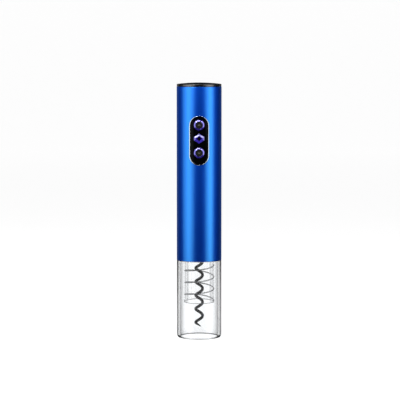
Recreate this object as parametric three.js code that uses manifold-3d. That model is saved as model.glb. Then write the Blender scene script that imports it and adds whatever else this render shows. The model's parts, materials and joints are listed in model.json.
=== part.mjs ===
// Cordless electric wine opener, in millimetres, +Z up, standing on its clear lower housing.
// The keypad faces -Y. The axis of the body is the Z axis, and z = 0 is the rim that sits on the bottle.
import * as THREE from 'three';
import { mergeVertices } from 'three/addons/utils/BufferGeometryUtils.js';
import Module from 'manifold-3d';

const wasm = await Module();
wasm.setup();

// ---- driving dimensions -------------------------------------------------------------------------
const TOTAL_HEIGHT = 265;
const BODY_RADIUS = 23.25; // outside of the aluminium sleeve
const SLEEVE_WALL = 1.2;
const SLEEVE_BOTTOM = 81;
const SLEEVE_TOP = 261;
const SEAM = 0.3; // gap between two pieces that touch
const FIT = 0.15; // gap round a piece that fits an opening
const RUNNING_GAP = 0.1; // radial gap of a shaft in its hole

const HOUSING_RADIUS = 23.1;
const HOUSING_BORE = 20; // radius of the space for the bottle neck
const RIM_FILLET = 2.2;

const KEYPAD = { z: 206.05, height: 50.8, width: 20.6, rim: 0.8, back: 20.5, sunk: 0.4, curve: 32 };
const BUTTON = { upZ: 222, downZ: 193.5, radius: 5.35, faceRadius: 3.25 };
const BOARD = { halfWidth: 8, low: 184.5, high: 229.5, thickness: 1.6 };
const LAMP = { z: 208.2, halfWidth: 5.3, halfHeight: 5.1, shoulder: 1.8 };

const WORM = { pitch: 14, meanRadius: 3.55, wire: 2.8, top: 81.4, tip: 10, crestZ: 77.8 };
const GUIDE = { bore: 12.85, radius: 15.3, bottom: 36.4, flangeZ: 83, ribPitch: 12.25, ribZ: 68.5 };

const GEAR = { module: 0.55, sun: 12, planet: 18, ring: 48, pressure: 25, backlash: 0.14, face: 5.5 };
const PLANETS = 3;
const BOLT_CIRCLE = 18.1;
const MOTOR = { radius: 12.2, length: 28.8 };
const CELL = { radius: 7.25, length: 50.5, nub: 1.2, nubRadius: 2.7, pitch: 15.6, bottom: 203.4 };

// ---- heights worked out from them, from the bulkhead up -----------------------------------------
const bulkheadZ = GUIDE.flangeZ + 2 + SEAM;
const caseZ = bulkheadZ + 4 + SEAM;
const outputPlateZ = caseZ + 3.6;
const PLATE = 2.2; // thickness of a planet carrier's plate
const STAGE = PLATE + GEAR.face + 4 * SEAM; // one planetary stage
const plateZ = [0, 1, 2].map((stage) => outputPlateZ + stage * STAGE); // output, second, first
const caseTop = plateZ[2] + PLATE + GEAR.face + 1.2;
const lidZ = caseTop + SEAM;
const motorZ = lidZ + 2 + SEAM;
const chassisZ = lidZ + 2 + SEAM;
const chassisTop = 198.2;
const cageZ = 199.5;
const cageTop = 251.5;
const sleeveBore = BODY_RADIUS - SLEEVE_WALL;
const innerRadius = sleeveBore - 0.45; // of the frames that slide into the sleeve
const boardFlat = 16; // the frames are flat here, behind the circuit board

// ---- shapes -------------------------------------------------------------------------------------
/** A copy with shared corners merged, no empty triangles, and its faces pointing out. */
function closed(geometry) {
  const bare = new THREE.BufferGeometry();
  bare.setAttribute('position', geometry.getAttribute('position').clone());
  if (geometry.index) bare.setIndex(geometry.index.clone());
  const merged = mergeVertices(bare, 1e-4);
  const at = merged.getAttribute('position');
  const [a, b, c] = [new THREE.Vector3(), new THREE.Vector3(), new THREE.Vector3()];
  const faces = [];
  let volume = 0;
  for (let i = 0; i < merged.index.count; i += 3) {
    const [p, q, r] = [0, 1, 2].map((k) => merged.index.getX(i + k));
    if (p === q || q === r || r === p) continue;
    faces.push([p, q, r]);
    [a, b, c].forEach((corner, k) => corner.fromBufferAttribute(at, [p, q, r][k]));
    volume += a.dot(b.cross(c));
  }
  merged.setIndex(faces.flatMap(([p, q, r]) => (volume < 0 ? [p, r, q] : [p, q, r])));
  return merged;
}

function toManifold(geometry) {
  const body = closed(geometry);
  return new wasm.Manifold(new wasm.Mesh({
    numProp: 3,
    vertProperties: new Float32Array(body.getAttribute('position').array),
    triVerts: new Uint32Array(body.index.array),
  }));
}

function fromManifold(solid) {
  const mesh = solid.getMesh();
  const geometry = new THREE.BufferGeometry();
  geometry.setAttribute('position', new THREE.BufferAttribute(new Float32Array(mesh.vertProperties), 3));
  geometry.setIndex(Array.from(mesh.triVerts));
  return geometry;
}

const join = (first, ...others) => (
  fromManifold(others.reduce((sum, other) => sum.add(toManifold(other)), toManifold(first))));
const cut = (first, ...tools) => (
  fromManifold(tools.reduce((rest, tool) => rest.subtract(toManifold(tool)), toManifold(first))));
const common = (first, second) => fromManifold(toManifold(first).intersect(toManifold(second)));

/** A profile of [radius, height] points turned about Z. A profile off the axis closes on itself. */
function turned(profile, sides = 48) {
  const points = profile.map(([radius, height]) => new THREE.Vector2(radius, height));
  if (profile[0][0] > 0) points.push(points[0].clone());
  return new THREE.LatheGeometry(points, sides).rotateX(Math.PI / 2);
}

const rod = (radius, low, high, sides = 24) => (
  turned([[0, low], [radius, low], [radius, high], [0, high]], sides));
const ring = (bore, radius, low, high, sides = 48) => (
  turned([[bore, low], [radius, low], [radius, high], [bore, high]], sides));

function block([x0, x1], [y0, y1], [z0, z1]) {
  return new THREE.BoxGeometry(x1 - x0, y1 - y0, z1 - z0)
    .translate((x0 + x1) / 2, (y0 + y1) / 2, (z0 + z1) / 2);
}

/** An outline in X and Y, given a height from low to high. */
function prism(outline, low, high, holes = []) {
  const shape = new THREE.Shape(outline);
  shape.holes = holes.map((hole) => new THREE.Path(hole));
  return new THREE.ExtrudeGeometry(shape, { depth: high - low, bevelEnabled: false }).translate(0, 0, low);
}

/** Turns what was built along Z to face the front: height z becomes depth -y, and y becomes z. */
const facing = (geometry, z = 0) => geometry.rotateX(Math.PI / 2).translate(0, 0, z);

function circle(radius, sides, x = 0, y = 0) {
  return Array.from({ length: sides }, (_, i) => {
    const angle = (2 * Math.PI * i) / sides;
    return new THREE.Vector2(x + radius * Math.cos(angle), y + radius * Math.sin(angle));
  });
}

/** An upright slot outline with round ends. */
function stadium(width, height, arcSteps = 8) {
  const radius = width / 2;
  const straight = height / 2 - radius;
  return [0, Math.PI].flatMap((start) => Array.from({ length: arcSteps + 1 }, (_, i) => {
    const angle = start + (Math.PI * i) / arcSteps;
    const middle = start ? -straight : straight;
    return new THREE.Vector2(radius * Math.cos(angle), middle + radius * Math.sin(angle));
  }));
}

class Helix extends THREE.Curve {
  constructor(radiusAt, pitch, lowZ, turns, startAngle) {
    super();
    Object.assign(this, { radiusAt, pitch, lowZ, turns, startAngle });
  }

  getPoint(t, target = new THREE.Vector3()) {
    const angle = this.startAngle + 2 * Math.PI * this.turns * t;
    const radius = this.radiusAt(t);
    const height = this.lowZ + this.pitch * this.turns * t;
    return target.set(radius * Math.cos(angle), radius * Math.sin(angle), height);
  }
}

/** A wire with flat ends along a curve. */
function wire(curve, radius, steps, sides = 6) {
  return new THREE.ExtrudeGeometry(new THREE.Shape(circle(radius, sides)), { steps, extrudePath: curve });
}

const spring = (x, y, low, high) => (
  wire(new Helix((t) => 3.4 - t, (high - low) / 2.5, low, 2.5, 0), 0.35, 20, 4).translate(x, y, 0));

// ---- materials ----------------------------------------------------------------------------------
const finish = (color, roughness, metalness = 0, extra = {}) => (
  new THREE.MeshStandardMaterial({ color, roughness, metalness, ...extra }));
const anodised = () => finish(0x0f4fc4, 0.38, 1);
const glossBlack = () => finish(0x060607, 0.12);
const mouldedBlack = () => finish(0x17181a, 0.6);
const mouldedGrey = () => finish(0x6f7377, 0.6);
const clear = () => finish(0xf2f5f7, 0.08, 0, { transparent: true, opacity: 0.3 });
const steel = () => finish(0xb9bcc0, 0.35, 1);
const nickel = () => finish(0xd0cfc8, 0.25, 1);
const violetChrome = () => finish(0x4a34b0, 0.15, 1);
const acetal = () => finish(0xe9e6da, 0.5);

const opener = new THREE.Group();
function add(name, geometry, material) {
  const mesh = new THREE.Mesh(closed(geometry), material);
  mesh.name = name;
  opener.add(mesh);
  return mesh;
}

// ---- battery cap --------------------------------------------------------------------------------
const cap = { skirt: SLEEVE_TOP - 6.5, side: SLEEVE_TOP + SEAM, bore: 19.9, ceiling: SLEEVE_TOP + 1.2 };
const plateTop = SLEEVE_TOP - 1.1; // of the contact plate under the cap
const plateBottom = plateTop - 2;
const bridgeZ = plateBottom - SEAM - 0.5;

function topCap() {
  const skirtRadius = innerRadius;
  const groove = [SLEEVE_TOP - 3, SLEEVE_TOP - 1.4];
  const shoulder = 22.5;
  const rise = 1.4;
  const dome = [1, 0.66, 0.33, 0].map((share) => (
    [shoulder * share, TOTAL_HEIGHT - rise * share * share]));
  const shell = turned([
    [0, cap.ceiling], [cap.bore, cap.ceiling], [cap.bore, cap.skirt], [skirtRadius, cap.skirt],
    [skirtRadius, groove[0]], [skirtRadius - 0.9, groove[0]], [skirtRadius - 0.9, groove[1]],
    [skirtRadius, groove[1]], [skirtRadius, cap.side], [HOUSING_RADIUS, cap.side],
    [HOUSING_RADIUS, TOTAL_HEIGHT - 2.1], ...dome,
  ]);
  const pivot = ring(1.2, 1.8, plateBottom - SEAM, cap.ceiling + 0.4, 12);
  add('top_cap', join(shell, pivot), glossBlack());
  const sealRadius = 0.45;
  const seal = circle(sealRadius, 6, skirtRadius - 0.15, (groove[0] + groove[1]) / 2);
  add('cap_seal', turned(seal.map((point) => [point.x, point.y]), 32), finish(0x1a1a1a, 0.8));
  add('cap_screw', join(
    rod(3.2, bridgeZ - 0.6, plateBottom - 2 * SEAM, 16),
    rod(0.95, bridgeZ, cap.ceiling - 1, 12),
  ), steel());
}

function contactPlate() {
  const disc = ring(1.95, cap.bore - 0.4, plateBottom, plateTop, 32);
  const key = block([-1.8, 1.8], [17.2, 19.2], [cageTop - 4, plateTop - 0.5]);
  add('contact_plate', join(disc, key), mouldedBlack());
  const at = CELL.pitch / 2;
  for (const [name, x, springY] of [['cap_bridge_left', -at, -at], ['cap_bridge_right', at, at]]) {
    const strip = block([x - 3, x + 3], [-at - 4, at + 4], [bridgeZ, bridgeZ + 0.5]);
    const cellTop = CELL.bottom + CELL.length + SEAM;
    const boss = rod(2.5, cellTop, bridgeZ + 0.2, 12).translate(x, -springY, 0);
    add(name, join(strip, boss, spring(x, springY, cellTop + 0.5, bridgeZ + 0.1)), nickel());
  }
}

// ---- outer sleeve and keypad --------------------------------------------------------------------
const keypadDepth = BODY_RADIUS + 5;

function sleeve() {
  const tube = turned([
    [sleeveBore, SLEEVE_BOTTOM], [BODY_RADIUS - 0.3, SLEEVE_BOTTOM], [BODY_RADIUS, SLEEVE_BOTTOM + 0.3],
    [BODY_RADIUS, SLEEVE_TOP - 0.3], [BODY_RADIUS - 0.3, SLEEVE_TOP], [sleeveBore, SLEEVE_TOP],
  ]);
  const opening = stadium(KEYPAD.width + 2 * FIT, KEYPAD.height + 2 * FIT);
  add('sleeve', cut(tube, facing(prism(opening, 10, keypadDepth), KEYPAD.z)), anodised());
}

function keypad() {
  const panelWidth = KEYPAD.width - 2 * KEYPAD.rim - 2 * FIT;
  const panelHeight = KEYPAD.height - 2 * KEYPAD.rim - 2 * FIT;
  const inner = stadium(KEYPAD.width - 2 * KEYPAD.rim, KEYPAD.height - 2 * KEYPAD.rim);
  const outer = stadium(KEYPAD.width, KEYPAD.height);
  const rounded = (radius, front) => (
    rod(radius, KEYPAD.z - KEYPAD.height, KEYPAD.z + KEYPAD.height, 60).translate(0, radius - front, 0));
  const bezelBlank = facing(prism(outer, KEYPAD.back, keypadDepth, [inner]), KEYPAD.z);
  add('keypad_bezel', common(bezelBlank, rounded(BODY_RADIUS + 0.25, BODY_RADIUS + 0.25)), nickel());
  const panelBlank = facing(prism(stadium(panelWidth, panelHeight), KEYPAD.back, keypadDepth), KEYPAD.z);
  const panel = common(panelBlank, rounded(KEYPAD.curve, BODY_RADIUS - KEYPAD.sunk));
  const holes = [BUTTON.upZ, BUTTON.downZ].map((z) => (
    facing(rod(BUTTON.radius + RUNNING_GAP, 10, keypadDepth, 32), z)));
  const lampHole = facing(prism(hexagon(FIT), 10, keypadDepth), LAMP.z);
  add('keypad_panel', cut(panel, ...holes, lampHole), glossBlack());
}

/** The lamp's six-sided outline, points up and down, let out by a gap. */
function hexagon(gap = 0) {
  const slope = (LAMP.halfHeight - LAMP.shoulder) / LAMP.halfWidth;
  const rise = gap * Math.hypot(1, slope);
  const [w, h, s] = [LAMP.halfWidth + gap, LAMP.halfHeight + rise, LAMP.shoulder + rise - gap * slope];
  return [[0, h], [-w, s], [-w, -s], [0, -h], [w, -s], [w, s]].map(([x, y]) => new THREE.Vector2(x, y));
}

function lampLens() {
  const front = BODY_RADIUS + 0.9;
  const body = new THREE.ExtrudeGeometry(new THREE.Shape(hexagon(-1)), {
    depth: front - 0.9 - KEYPAD.back, bevelThickness: 0.9, bevelSize: 1, bevelSegments: 1,
  }).translate(0, 0, KEYPAD.back);
  add('lamp_lens', facing(body, LAMP.z), finish(0x4a34c0, 0.1, 0.2));
}

function button(name, z) {
  const front = BODY_RADIUS + 1.15;
  const flange = 6.1;
  const flangeBack = KEYPAD.back - SEAM - 0.5;
  const stemEnd = 19;
  const seat = [BUTTON.faceRadius + FIT, BODY_RADIUS - 0.6];
  const shell = turned([
    [0, stemEnd], [1.3, stemEnd], [1.3, flangeBack], [flange, flangeBack], [flange, flangeBack + 0.5],
    [BUTTON.radius, flangeBack + 0.5], [BUTTON.radius, front - 0.7], [BUTTON.radius - 0.6, front - 0.1],
    [BUTTON.radius - 1.1, front], [seat[0] + 0.25, front - 0.3], [seat[0], front - 0.7], seat, [0, seat[1]],
  ], 24);
  add(name, facing(shell, z), violetChrome());
  const face = turned([
    [0, seat[1] + FIT], [BUTTON.faceRadius, seat[1] + FIT], [BUTTON.faceRadius, front - 0.9],
    [BUTTON.faceRadius - 0.4, front - 0.6], [0, front - 0.75],
  ], 24);
  add(`${name}_face`, facing(face, z), finish(0x2a2a22, 0.7));
}

// ---- circuit board ------------------------------------------------------------------------------
function circuitBoard() {
  const back = boardFlat + SEAM;
  const front = back + BOARD.thickness;
  const plate = block([-BOARD.halfWidth, BOARD.halfWidth], [-front, -back], [BOARD.low, BOARD.high]);
  add('circuit_board', plate, finish(0x1d5a34, 0.45));
  const face = front + SEAM;
  for (const [name, z] of [['up_switch', BUTTON.upZ], ['down_switch', BUTTON.downZ]]) {
    const body = block([-3, 3], [-face - 0.9, -face], [z - 3, z + 3]);
    add(name, cut(body, facing(rod(1.6, face + 0.2, face + 3, 16), z)), mouldedBlack());
  }
  const diode = block([-1.75, 1.75], [-face - 1.1, -face], [LAMP.z - 1.4, LAMP.z + 1.4]);
  add('lamp_diode', diode, finish(0xf4f2e4, 0.4));
}

// ---- batteries ----------------------------------------------------------------------------------
const cellAt = CELL.pitch / 2;
const cellBore = CELL.radius + 0.3;

function batteryCage() {
  const outline = rod(innerRadius, cageZ, cageTop, 40);
  const frontCut = block([-30, 30], [-30, -boardFlat], [cageZ - 1, cageTop + 1]);
  const floorTop = CELL.bottom - SEAM;
  const wells = [];
  for (const x of [-cellAt, cellAt]) {
    for (const y of [-cellAt, cellAt]) {
      wells.push(rod(cellBore, floorTop, cageTop + 1, 20).translate(x, y, 0));
      wells.push(rod(4.2, cageZ - 1, floorTop + 1, 10).translate(x, y, 0));
    }
  }
  const keyway = block([-2.2, 2.2], [16.8, 30], [cageTop - 6, cageTop + 1]);
  add('battery_cage', cut(outline, frontCut, keyway, ...wells), mouldedGrey());
}

function cells() {
  const top = CELL.bottom + CELL.length;
  const places = [[-1, -1, false], [1, -1, true], [1, 1, false], [-1, 1, true]];
  places.forEach(([x, y, plusUp], i) => {
    const low = plusUp ? CELL.bottom : CELL.bottom + CELL.nub;
    const high = plusUp ? top - CELL.nub : top;
    const wall = [[CELL.radius, low], [CELL.radius, high]];
    const profile = plusUp
      ? [[0, low], ...wall, [CELL.nubRadius, high], [CELL.nubRadius, top], [0, top]]
      : [[0, CELL.bottom], [CELL.nubRadius, CELL.bottom], [CELL.nubRadius, low], ...wall, [0, high]];
    const cell = turned(profile, 24).translate(x * cellAt, y * cellAt, 0);
    add(`cell_${i + 1}`, cell, finish(0xb08a3a, 0.4, 0.8));
  });
}

function lowerContacts() {
  const [low, high] = [cageZ - 0.9, cageZ - 0.4];
  const cellEnd = CELL.bottom - SEAM;
  const boss = (x, y) => rod(2.5, high - 0.2, cellEnd, 12).translate(x, y, 0);
  const coil = (x, y) => spring(x, y, high - 0.1, cellEnd - 0.4);
  const tab = (x) => block([x - 2.5, x + 2.5], [-boardFlat, -cellAt + 4], [low, high]);
  add('positive_contact', join(tab(-cellAt), boss(-cellAt, -cellAt)), nickel());
  add('negative_contact', join(tab(cellAt), coil(cellAt, -cellAt)), nickel());
  const strip = block([-cellAt - 4, cellAt + 4], [cellAt - 3, cellAt + 3], [low, high]);
  add('cell_bridge', join(strip, boss(cellAt, cellAt), coil(-cellAt, cellAt)), nickel());
}

// ---- chassis halves and their screws ------------------------------------------------------------
const screw = { x: 16, z: 172, boss: 2.6, hole: 1.2, head: 2.2 };

function chassisHalf(name, side) {
  const wall = ring(innerRadius - 2, innerRadius, chassisZ, chassisTop, 40);
  const ribs = [chassisZ + 5, chassisZ + 22, chassisTop - 2].map((z) => (
    ring(MOTOR.radius + 0.3, innerRadius - 1, z, z + 2, 32)));
  const away = side > 0 ? [-30, SEAM / 2] : [-SEAM / 2, 30];
  const tools = [block([-30, 30], away, [chassisZ - 1, chassisTop + 1])];
  tools.push(block([-30, 30], [-30, -boardFlat], [KEYPAD.z - KEYPAD.height / 2 - 1, chassisTop + 1]));
  const bosses = [-screw.x, screw.x].map((x) => common(
    facing(rod(screw.boss, -30, 30, 12), screw.z).translate(x, 0, 0),
    rod(innerRadius - 0.5, screw.z - 5, screw.z + 5, 40),
  ));
  for (const x of [-screw.x, screw.x]) {
    const reach = side > 0 ? [-30, 1] : [-1, 9];
    tools.push(facing(rod(screw.hole, ...reach, 12), screw.z).translate(x, 0, 0));
    if (side > 0) tools.push(facing(rod(screw.head + 0.2, -30, -10, 16), screw.z).translate(x, 0, 0));
  }
  add(name, cut(join(wall, ...ribs, ...bosses), ...tools), mouldedGrey());
}

function chassisScrews() {
  for (const [name, x] of [['chassis_screw_left', -screw.x], ['chassis_screw_right', screw.x]]) {
    const shape = join(rod(screw.head, -11.4, -10 - SEAM, 16), rod(0.95, -10.6, 7, 12));
    add(name, facing(shape, screw.z).translate(x, 0, 0), steel());
  }
}

// ---- motor --------------------------------------------------------------------------------------
function motor() {
  const top = motorZ + MOTOR.length;
  const can = turned([
    [1.15, motorZ - 1.6], [3, motorZ - 1.6], [3, motorZ], [MOTOR.radius - 0.5, motorZ],
    [MOTOR.radius, motorZ + 0.5], [MOTOR.radius, top], [1.15, top],
  ], 28);
  const threads = [-8, 8].map((x) => rod(1.05, motorZ - 1, motorZ + 4, 12).translate(x, 0, 0));
  add('motor_can', cut(can, ...threads), steel());
  const endCap = turned([
    [1.15, top + SEAM], [MOTOR.radius - 0.8, top + SEAM], [MOTOR.radius - 0.8, top + 1.8], [3.4, top + 1.8],
    [3.4, top + 3], [1.15, top + 3],
  ], 20);
  const terminals = [-7, 7].map((x) => block([x - 1.2, x + 1.2], [-0.25, 0.25], [top + 1, top + 5]));
  add('motor_end_cap', join(endCap, ...terminals), mouldedBlack());
  for (const [name, x] of [['motor_screw_left', -8], ['motor_screw_right', 8]]) {
    const shape = join(rod(1.7, lidZ - 1.1, lidZ - 0.1, 16), rod(0.9, lidZ - 0.6, motorZ + 3, 12));
    add(name, shape.translate(x, 0, 0), steel());
  }
  const route = (x) => new THREE.CatmullRomCurve3([
    [x, -1.1, top + 4], [x * 1.05, -1.6, top + 9], [x * 0.9, -5, top + 20], [x * 0.6, -11, 178],
    [x * 0.5, -14.2, 184], [x * 0.5, -15.2, 189],
  ].map((point) => new THREE.Vector3(...point)));
  add('motor_lead_red', wire(route(-7), 0.6, 18), finish(0xb5201c, 0.5));
  add('motor_lead_black', wire(route(7), 0.6, 18), finish(0x101010, 0.5));
}

// ---- planetary gearbox --------------------------------------------------------------------------
const radians = THREE.MathUtils.degToRad;
const involute = (angle) => Math.tan(angle) - angle;
const pitchRadius = (teeth) => (GEAR.module * teeth) / 2;
const addendum = 0.8 * GEAR.module;
const dedendum = 1.1 * GEAR.module;

/** Half the angle that a tooth of an outside gear fills at a radius. */
function halfTooth(teeth, radius, play) {
  const base = pitchRadius(teeth) * Math.cos(radians(GEAR.pressure));
  const slope = Math.acos(Math.min(1, base / radius));
  const half = Math.PI / (2 * teeth) - play / (2 * pitchRadius(teeth));
  return half + involute(radians(GEAR.pressure)) - involute(slope);
}

/** Teeth of an outside gear, with a tooth centred at the start angle. Each flank has one point per radius. */
function gearOutline(teeth, radii, startAngle, halfAngle) {
  return Array.from({ length: teeth }, (_, tooth) => {
    const middle = startAngle + (2 * Math.PI * tooth) / teeth;
    const rising = radii.map((radius) => [radius, middle - halfAngle(radius)]);
    const falling = [...radii].reverse().map((radius) => [radius, middle + halfAngle(radius)]);
    return [...rising, ...falling];
  }).flat().map(([radius, angle]) => new THREE.Vector2(radius * Math.cos(angle), radius * Math.sin(angle)));
}

function outsideGear(teeth, low, high, startAngle, holeRadius) {
  const pitch = pitchRadius(teeth);
  const radii = [pitch - dedendum, pitch + addendum];
  const outline = gearOutline(teeth, radii, startAngle, (radius) => halfTooth(teeth, radius, GEAR.backlash));
  return prism(outline, low, high, holeRadius ? [circle(holeRadius, 8)] : []);
}

const planetRadius = pitchRadius(GEAR.sun) + pitchRadius(GEAR.planet);
const planetAngles = Array.from({ length: PLANETS }, (_, i) => (2 * Math.PI * i) / PLANETS);
const sunGear = (low, high) => outsideGear(GEAR.sun, low, high, 0, 0);
const caseRadius = 16.6;
const hubRadius = 5.6;

function gearCase() {
  const pitch = pitchRadius(GEAR.ring);
  const halfSpace = (radius) => halfTooth(GEAR.ring, radius, -GEAR.backlash);
  const radii = [pitch - addendum, pitch + dedendum];
  const toothed = gearOutline(GEAR.ring, radii, Math.PI / GEAR.ring, halfSpace);
  const wall = prism(circle(caseRadius, 36), plateZ[0] - 0.6, caseTop, [toothed]);
  const floor = ring(hubRadius + 0.6, caseRadius, caseZ, plateZ[0] - 0.5, 36);
  add('gear_case', join(wall, floor), mouldedGrey());
}

function planets(stageName, low, order) {
  planetAngles.forEach((angle, i) => {
    const gear = outsideGear(GEAR.planet, low, low + GEAR.face, Math.PI / GEAR.planet, 1.45);
    const mesh = add(`${stageName}_planet_${i + 1}`, gear, order === 0 ? steel() : acetal());
    mesh.position.set(planetRadius * Math.cos(angle), planetRadius * Math.sin(angle), 0);
    mesh.rotation.z = angle;
  });
}

/** A carrier: a plate with a pin for each planet above it, and either a sun gear or a hub below it. */
function carrier(name, stage, below) {
  const low = plateZ[stage];
  const plate = below.bore
    ? ring(below.bore, planetRadius + 3, low, low + PLATE, 24)
    : rod(planetRadius + 3, low, low + PLATE, 24);
  const pins = planetAngles.map((angle) => (
    rod(1.25, low + PLATE - 0.3, low + PLATE + SEAM + GEAR.face, 8)
      .translate(planetRadius * Math.cos(angle), planetRadius * Math.sin(angle), 0)));
  add(name, join(plate, ...pins, below.shape), steel());
}

function gearbox() {
  gearCase();
  const lid = ring(3.3, innerRadius - 0.3, lidZ, lidZ + 2, 32);
  const motorHoles = [-8, 8].map((x) => rod(1.2, lidZ - 1, lidZ + 3, 12).translate(x, 0, 0));
  add('gearbox_lid', cut(lid, ...motorHoles, ...boltHoles(1.15, lidZ - 1, lidZ + 3)), mouldedGrey());
  const hexSocket = 3.2;
  const boss = rod(hubRadius, plateZ[0] - 2, plateZ[0] + 0.3, 24);
  const hub = cut(boss, rod(hexSocket, plateZ[0] - 3, plateZ[0] + 1, 6));
  carrier('output_carrier', 0, { bore: hexSocket + 0.2, shape: hub });
  for (const [name, stage] of [['second_carrier', 1], ['first_carrier', 2]]) {
    const sunLow = plateZ[stage] - SEAM - GEAR.face;
    carrier(name, stage, { shape: sunGear(sunLow, plateZ[stage] + 0.2) });
  }
  const layers = plateZ.map((z) => z + PLATE + SEAM);
  planets('output', layers[0], 0);
  planets('second', layers[1], 1);
  planets('first', layers[2], 2);
  const pinion = sunGear(layers[2], layers[2] + GEAR.face);
  add('motor_pinion', join(pinion, rod(1, layers[2] + 1, motorZ + MOTOR.length + 2, 12)), nickel());
}

const boltAngles = [90, 210, 330].map(radians);
const boltPlaces = boltAngles.map((angle) => (
  [BOLT_CIRCLE * Math.cos(angle), BOLT_CIRCLE * Math.sin(angle)]));
const boltHoles = (radius, low, high) => boltPlaces.map(([x, y]) => (
  rod(radius, low, high, 8).translate(x, y, 0)));

// ---- bulkhead, bush and bolts -------------------------------------------------------------------
const shank = { radius: 4, hex: 3, flange: 6.2 };
const spigotTop = 91; // of the clear housing's neck, inside the sleeve

function bulkhead() {
  const low = spigotTop + SEAM;
  const lipTop = low + 2;
  const [plug, step] = [HOUSING_BORE - SEAM, caseRadius + SEAM];
  const disc = turned([
    [6, bulkheadZ], [plug, bulkheadZ], [plug, low], [innerRadius, low],
    [innerRadius, lipTop], [step, lipTop], [step, bulkheadZ + 4], [6, bulkheadZ + 4],
  ], 40);
  add('bulkhead', cut(disc, ...boltHoles(1.15, bulkheadZ - 1, lipTop + 1)), mouldedBlack());
  const bush = ring(shank.radius + RUNNING_GAP, 5.8, bulkheadZ - 0.4, bulkheadZ + 4, 20);
  add('output_bush', bush, finish(0xb08d57, 0.4, 1));
  add('retaining_clip', ring(shank.radius - 0.55, 5.4, caseZ + 0.2, caseZ + 0.8, 24), steel());
  boltPlaces.forEach(([x, y], i) => {
    const head = rod(1.7, GUIDE.flangeZ - SEAM - 1.1, GUIDE.flangeZ - SEAM, 16);
    const stem = rod(0.95, GUIDE.flangeZ - SEAM - 0.5, lidZ + 1.6, 12);
    add(`through_bolt_${i + 1}`, join(head, stem).translate(x, y, 0), steel());
  });
}

// ---- worm ---------------------------------------------------------------------------------------
function worm() {
  const turns = (WORM.top - WORM.tip) / WORM.pitch;
  const startAngle = (2 * Math.PI * (WORM.tip - WORM.crestZ)) / WORM.pitch;
  const path = new Helix(() => WORM.meanRadius, WORM.pitch, WORM.tip, turns, startAngle);
  const steps = Math.round(turns * 16);
  const helix = wire(path, WORM.wire / 2, steps, 6);
  sharpen(helix, path, 7.5);
  const grooveZ = [caseZ + 0.1, caseZ + 0.9];
  const [flangeLow, flangeHigh, shaftTop] = [WORM.top - 1.6, bulkheadZ - 0.7, plateZ[0] - 2.3];
  const shaft = turned([
    [0, flangeLow], [shank.flange, flangeLow], [shank.flange, flangeHigh], [shank.radius, flangeHigh],
    [shank.radius, grooveZ[0]], [shank.radius - 0.7, grooveZ[0]], [shank.radius - 0.7, grooveZ[1]],
    [shank.radius, grooveZ[1]], [shank.radius, shaftTop], [0, shaftTop],
  ], 20);
  const hex = rod(shank.hex, plateZ[0] - 2.5, plateZ[0] + PLATE - 0.4, 6);
  add('worm', join(shaft, hex, helix), finish(0x0b0b0c, 0.3, 0.4));
}

/** Thins the first millimetres of a wire down to a point. */
function sharpen(geometry, path, length) {
  const at = geometry.getAttribute('position');
  const [point, middle] = [new THREE.Vector3(), new THREE.Vector3()];
  for (let i = 0; i < at.count; i += 1) {
    point.fromBufferAttribute(at, i);
    const share = nearestShare(path, point);
    const along = share * path.getLength();
    if (along >= length) continue;
    const thin = 0.12 + 0.88 * Math.sqrt(along / length);
    path.getPointAt(share, middle);
    point.sub(middle).multiplyScalar(thin).add(middle);
    at.setXYZ(i, point.x, point.y, point.z);
  }
}

/** How far along a helix a point of its wire lies, from 0 to 1. */
function nearestShare(path, point) {
  let best = 0;
  let least = Infinity;
  for (let i = 0; i <= 400; i += 1) {
    const distance = path.getPoint(i / 400).distanceToSquared(point);
    if (distance < least) [best, least] = [i / 400, distance];
  }
  return best;
}

// ---- clear lower housing and cork guide ---------------------------------------------------------
function clearHousing() {
  const corner = HOUSING_RADIUS - RIM_FILLET;
  const fillet = Array.from({ length: 5 }, (_, i) => {
    const angle = (Math.PI / 2) * (i / 4);
    return [corner + RIM_FILLET * Math.sin(angle), RIM_FILLET * (1 - Math.cos(angle))];
  });
  const [ledge, spigot] = [SLEEVE_BOTTOM - SEAM, sleeveBore - SEAM];
  add('clear_housing', turned([
    [HOUSING_BORE + 0.2, 0], ...fillet, [HOUSING_RADIUS, ledge], [spigot, ledge], [spigot, spigotTop],
    [HOUSING_BORE, spigotTop], [HOUSING_BORE, 1.2],
  ]), clear());
}

function corkGuide() {
  const top = GUIDE.flangeZ + 2;
  const ledge = GUIDE.bottom + 1.8;
  const flangeRadius = HOUSING_BORE - SEAM;
  const stop = GUIDE.radius + 0.7;
  const tube = turned([
    [GUIDE.bore, GUIDE.bottom], [stop, GUIDE.bottom], [stop, ledge], [GUIDE.radius, ledge],
    [GUIDE.radius, GUIDE.flangeZ], [flangeRadius, GUIDE.flangeZ], [flangeRadius, top], [GUIDE.bore, top],
  ], 40);
  const rib = () => block([GUIDE.bore - 0.75, GUIDE.bore + 0.5], [-0.6, 0.6], [ledge + 2, GUIDE.flangeZ - 2]);
  const ribs = [45, 135, 225, 315].map((degrees) => rib().rotateZ(radians(degrees)));
  const turns = 3;
  const low = GUIDE.ribZ - 2.5 * GUIDE.ribPitch;
  const spiral = wire(new Helix(() => GUIDE.radius, GUIDE.ribPitch, low, turns, 0), 0.65, 14 * turns, 4);
  const bolts = boltHoles(1.15, GUIDE.flangeZ - 1, top + 1);
  add('cork_guide', cut(join(tube, spiral, ...ribs), ...bolts), clear());
}

topCap();
contactPlate();
sleeve();
keypad();
lampLens();
button('up_button', BUTTON.upZ);
button('down_button', BUTTON.downZ);
circuitBoard();
batteryCage();
cells();
lowerContacts();
chassisHalf('chassis_front', -1);
chassisHalf('chassis_rear', 1);
chassisScrews();
motor();
gearbox();
bulkhead();
worm();
clearHousing();
corkGuide();

export default opener;
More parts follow.
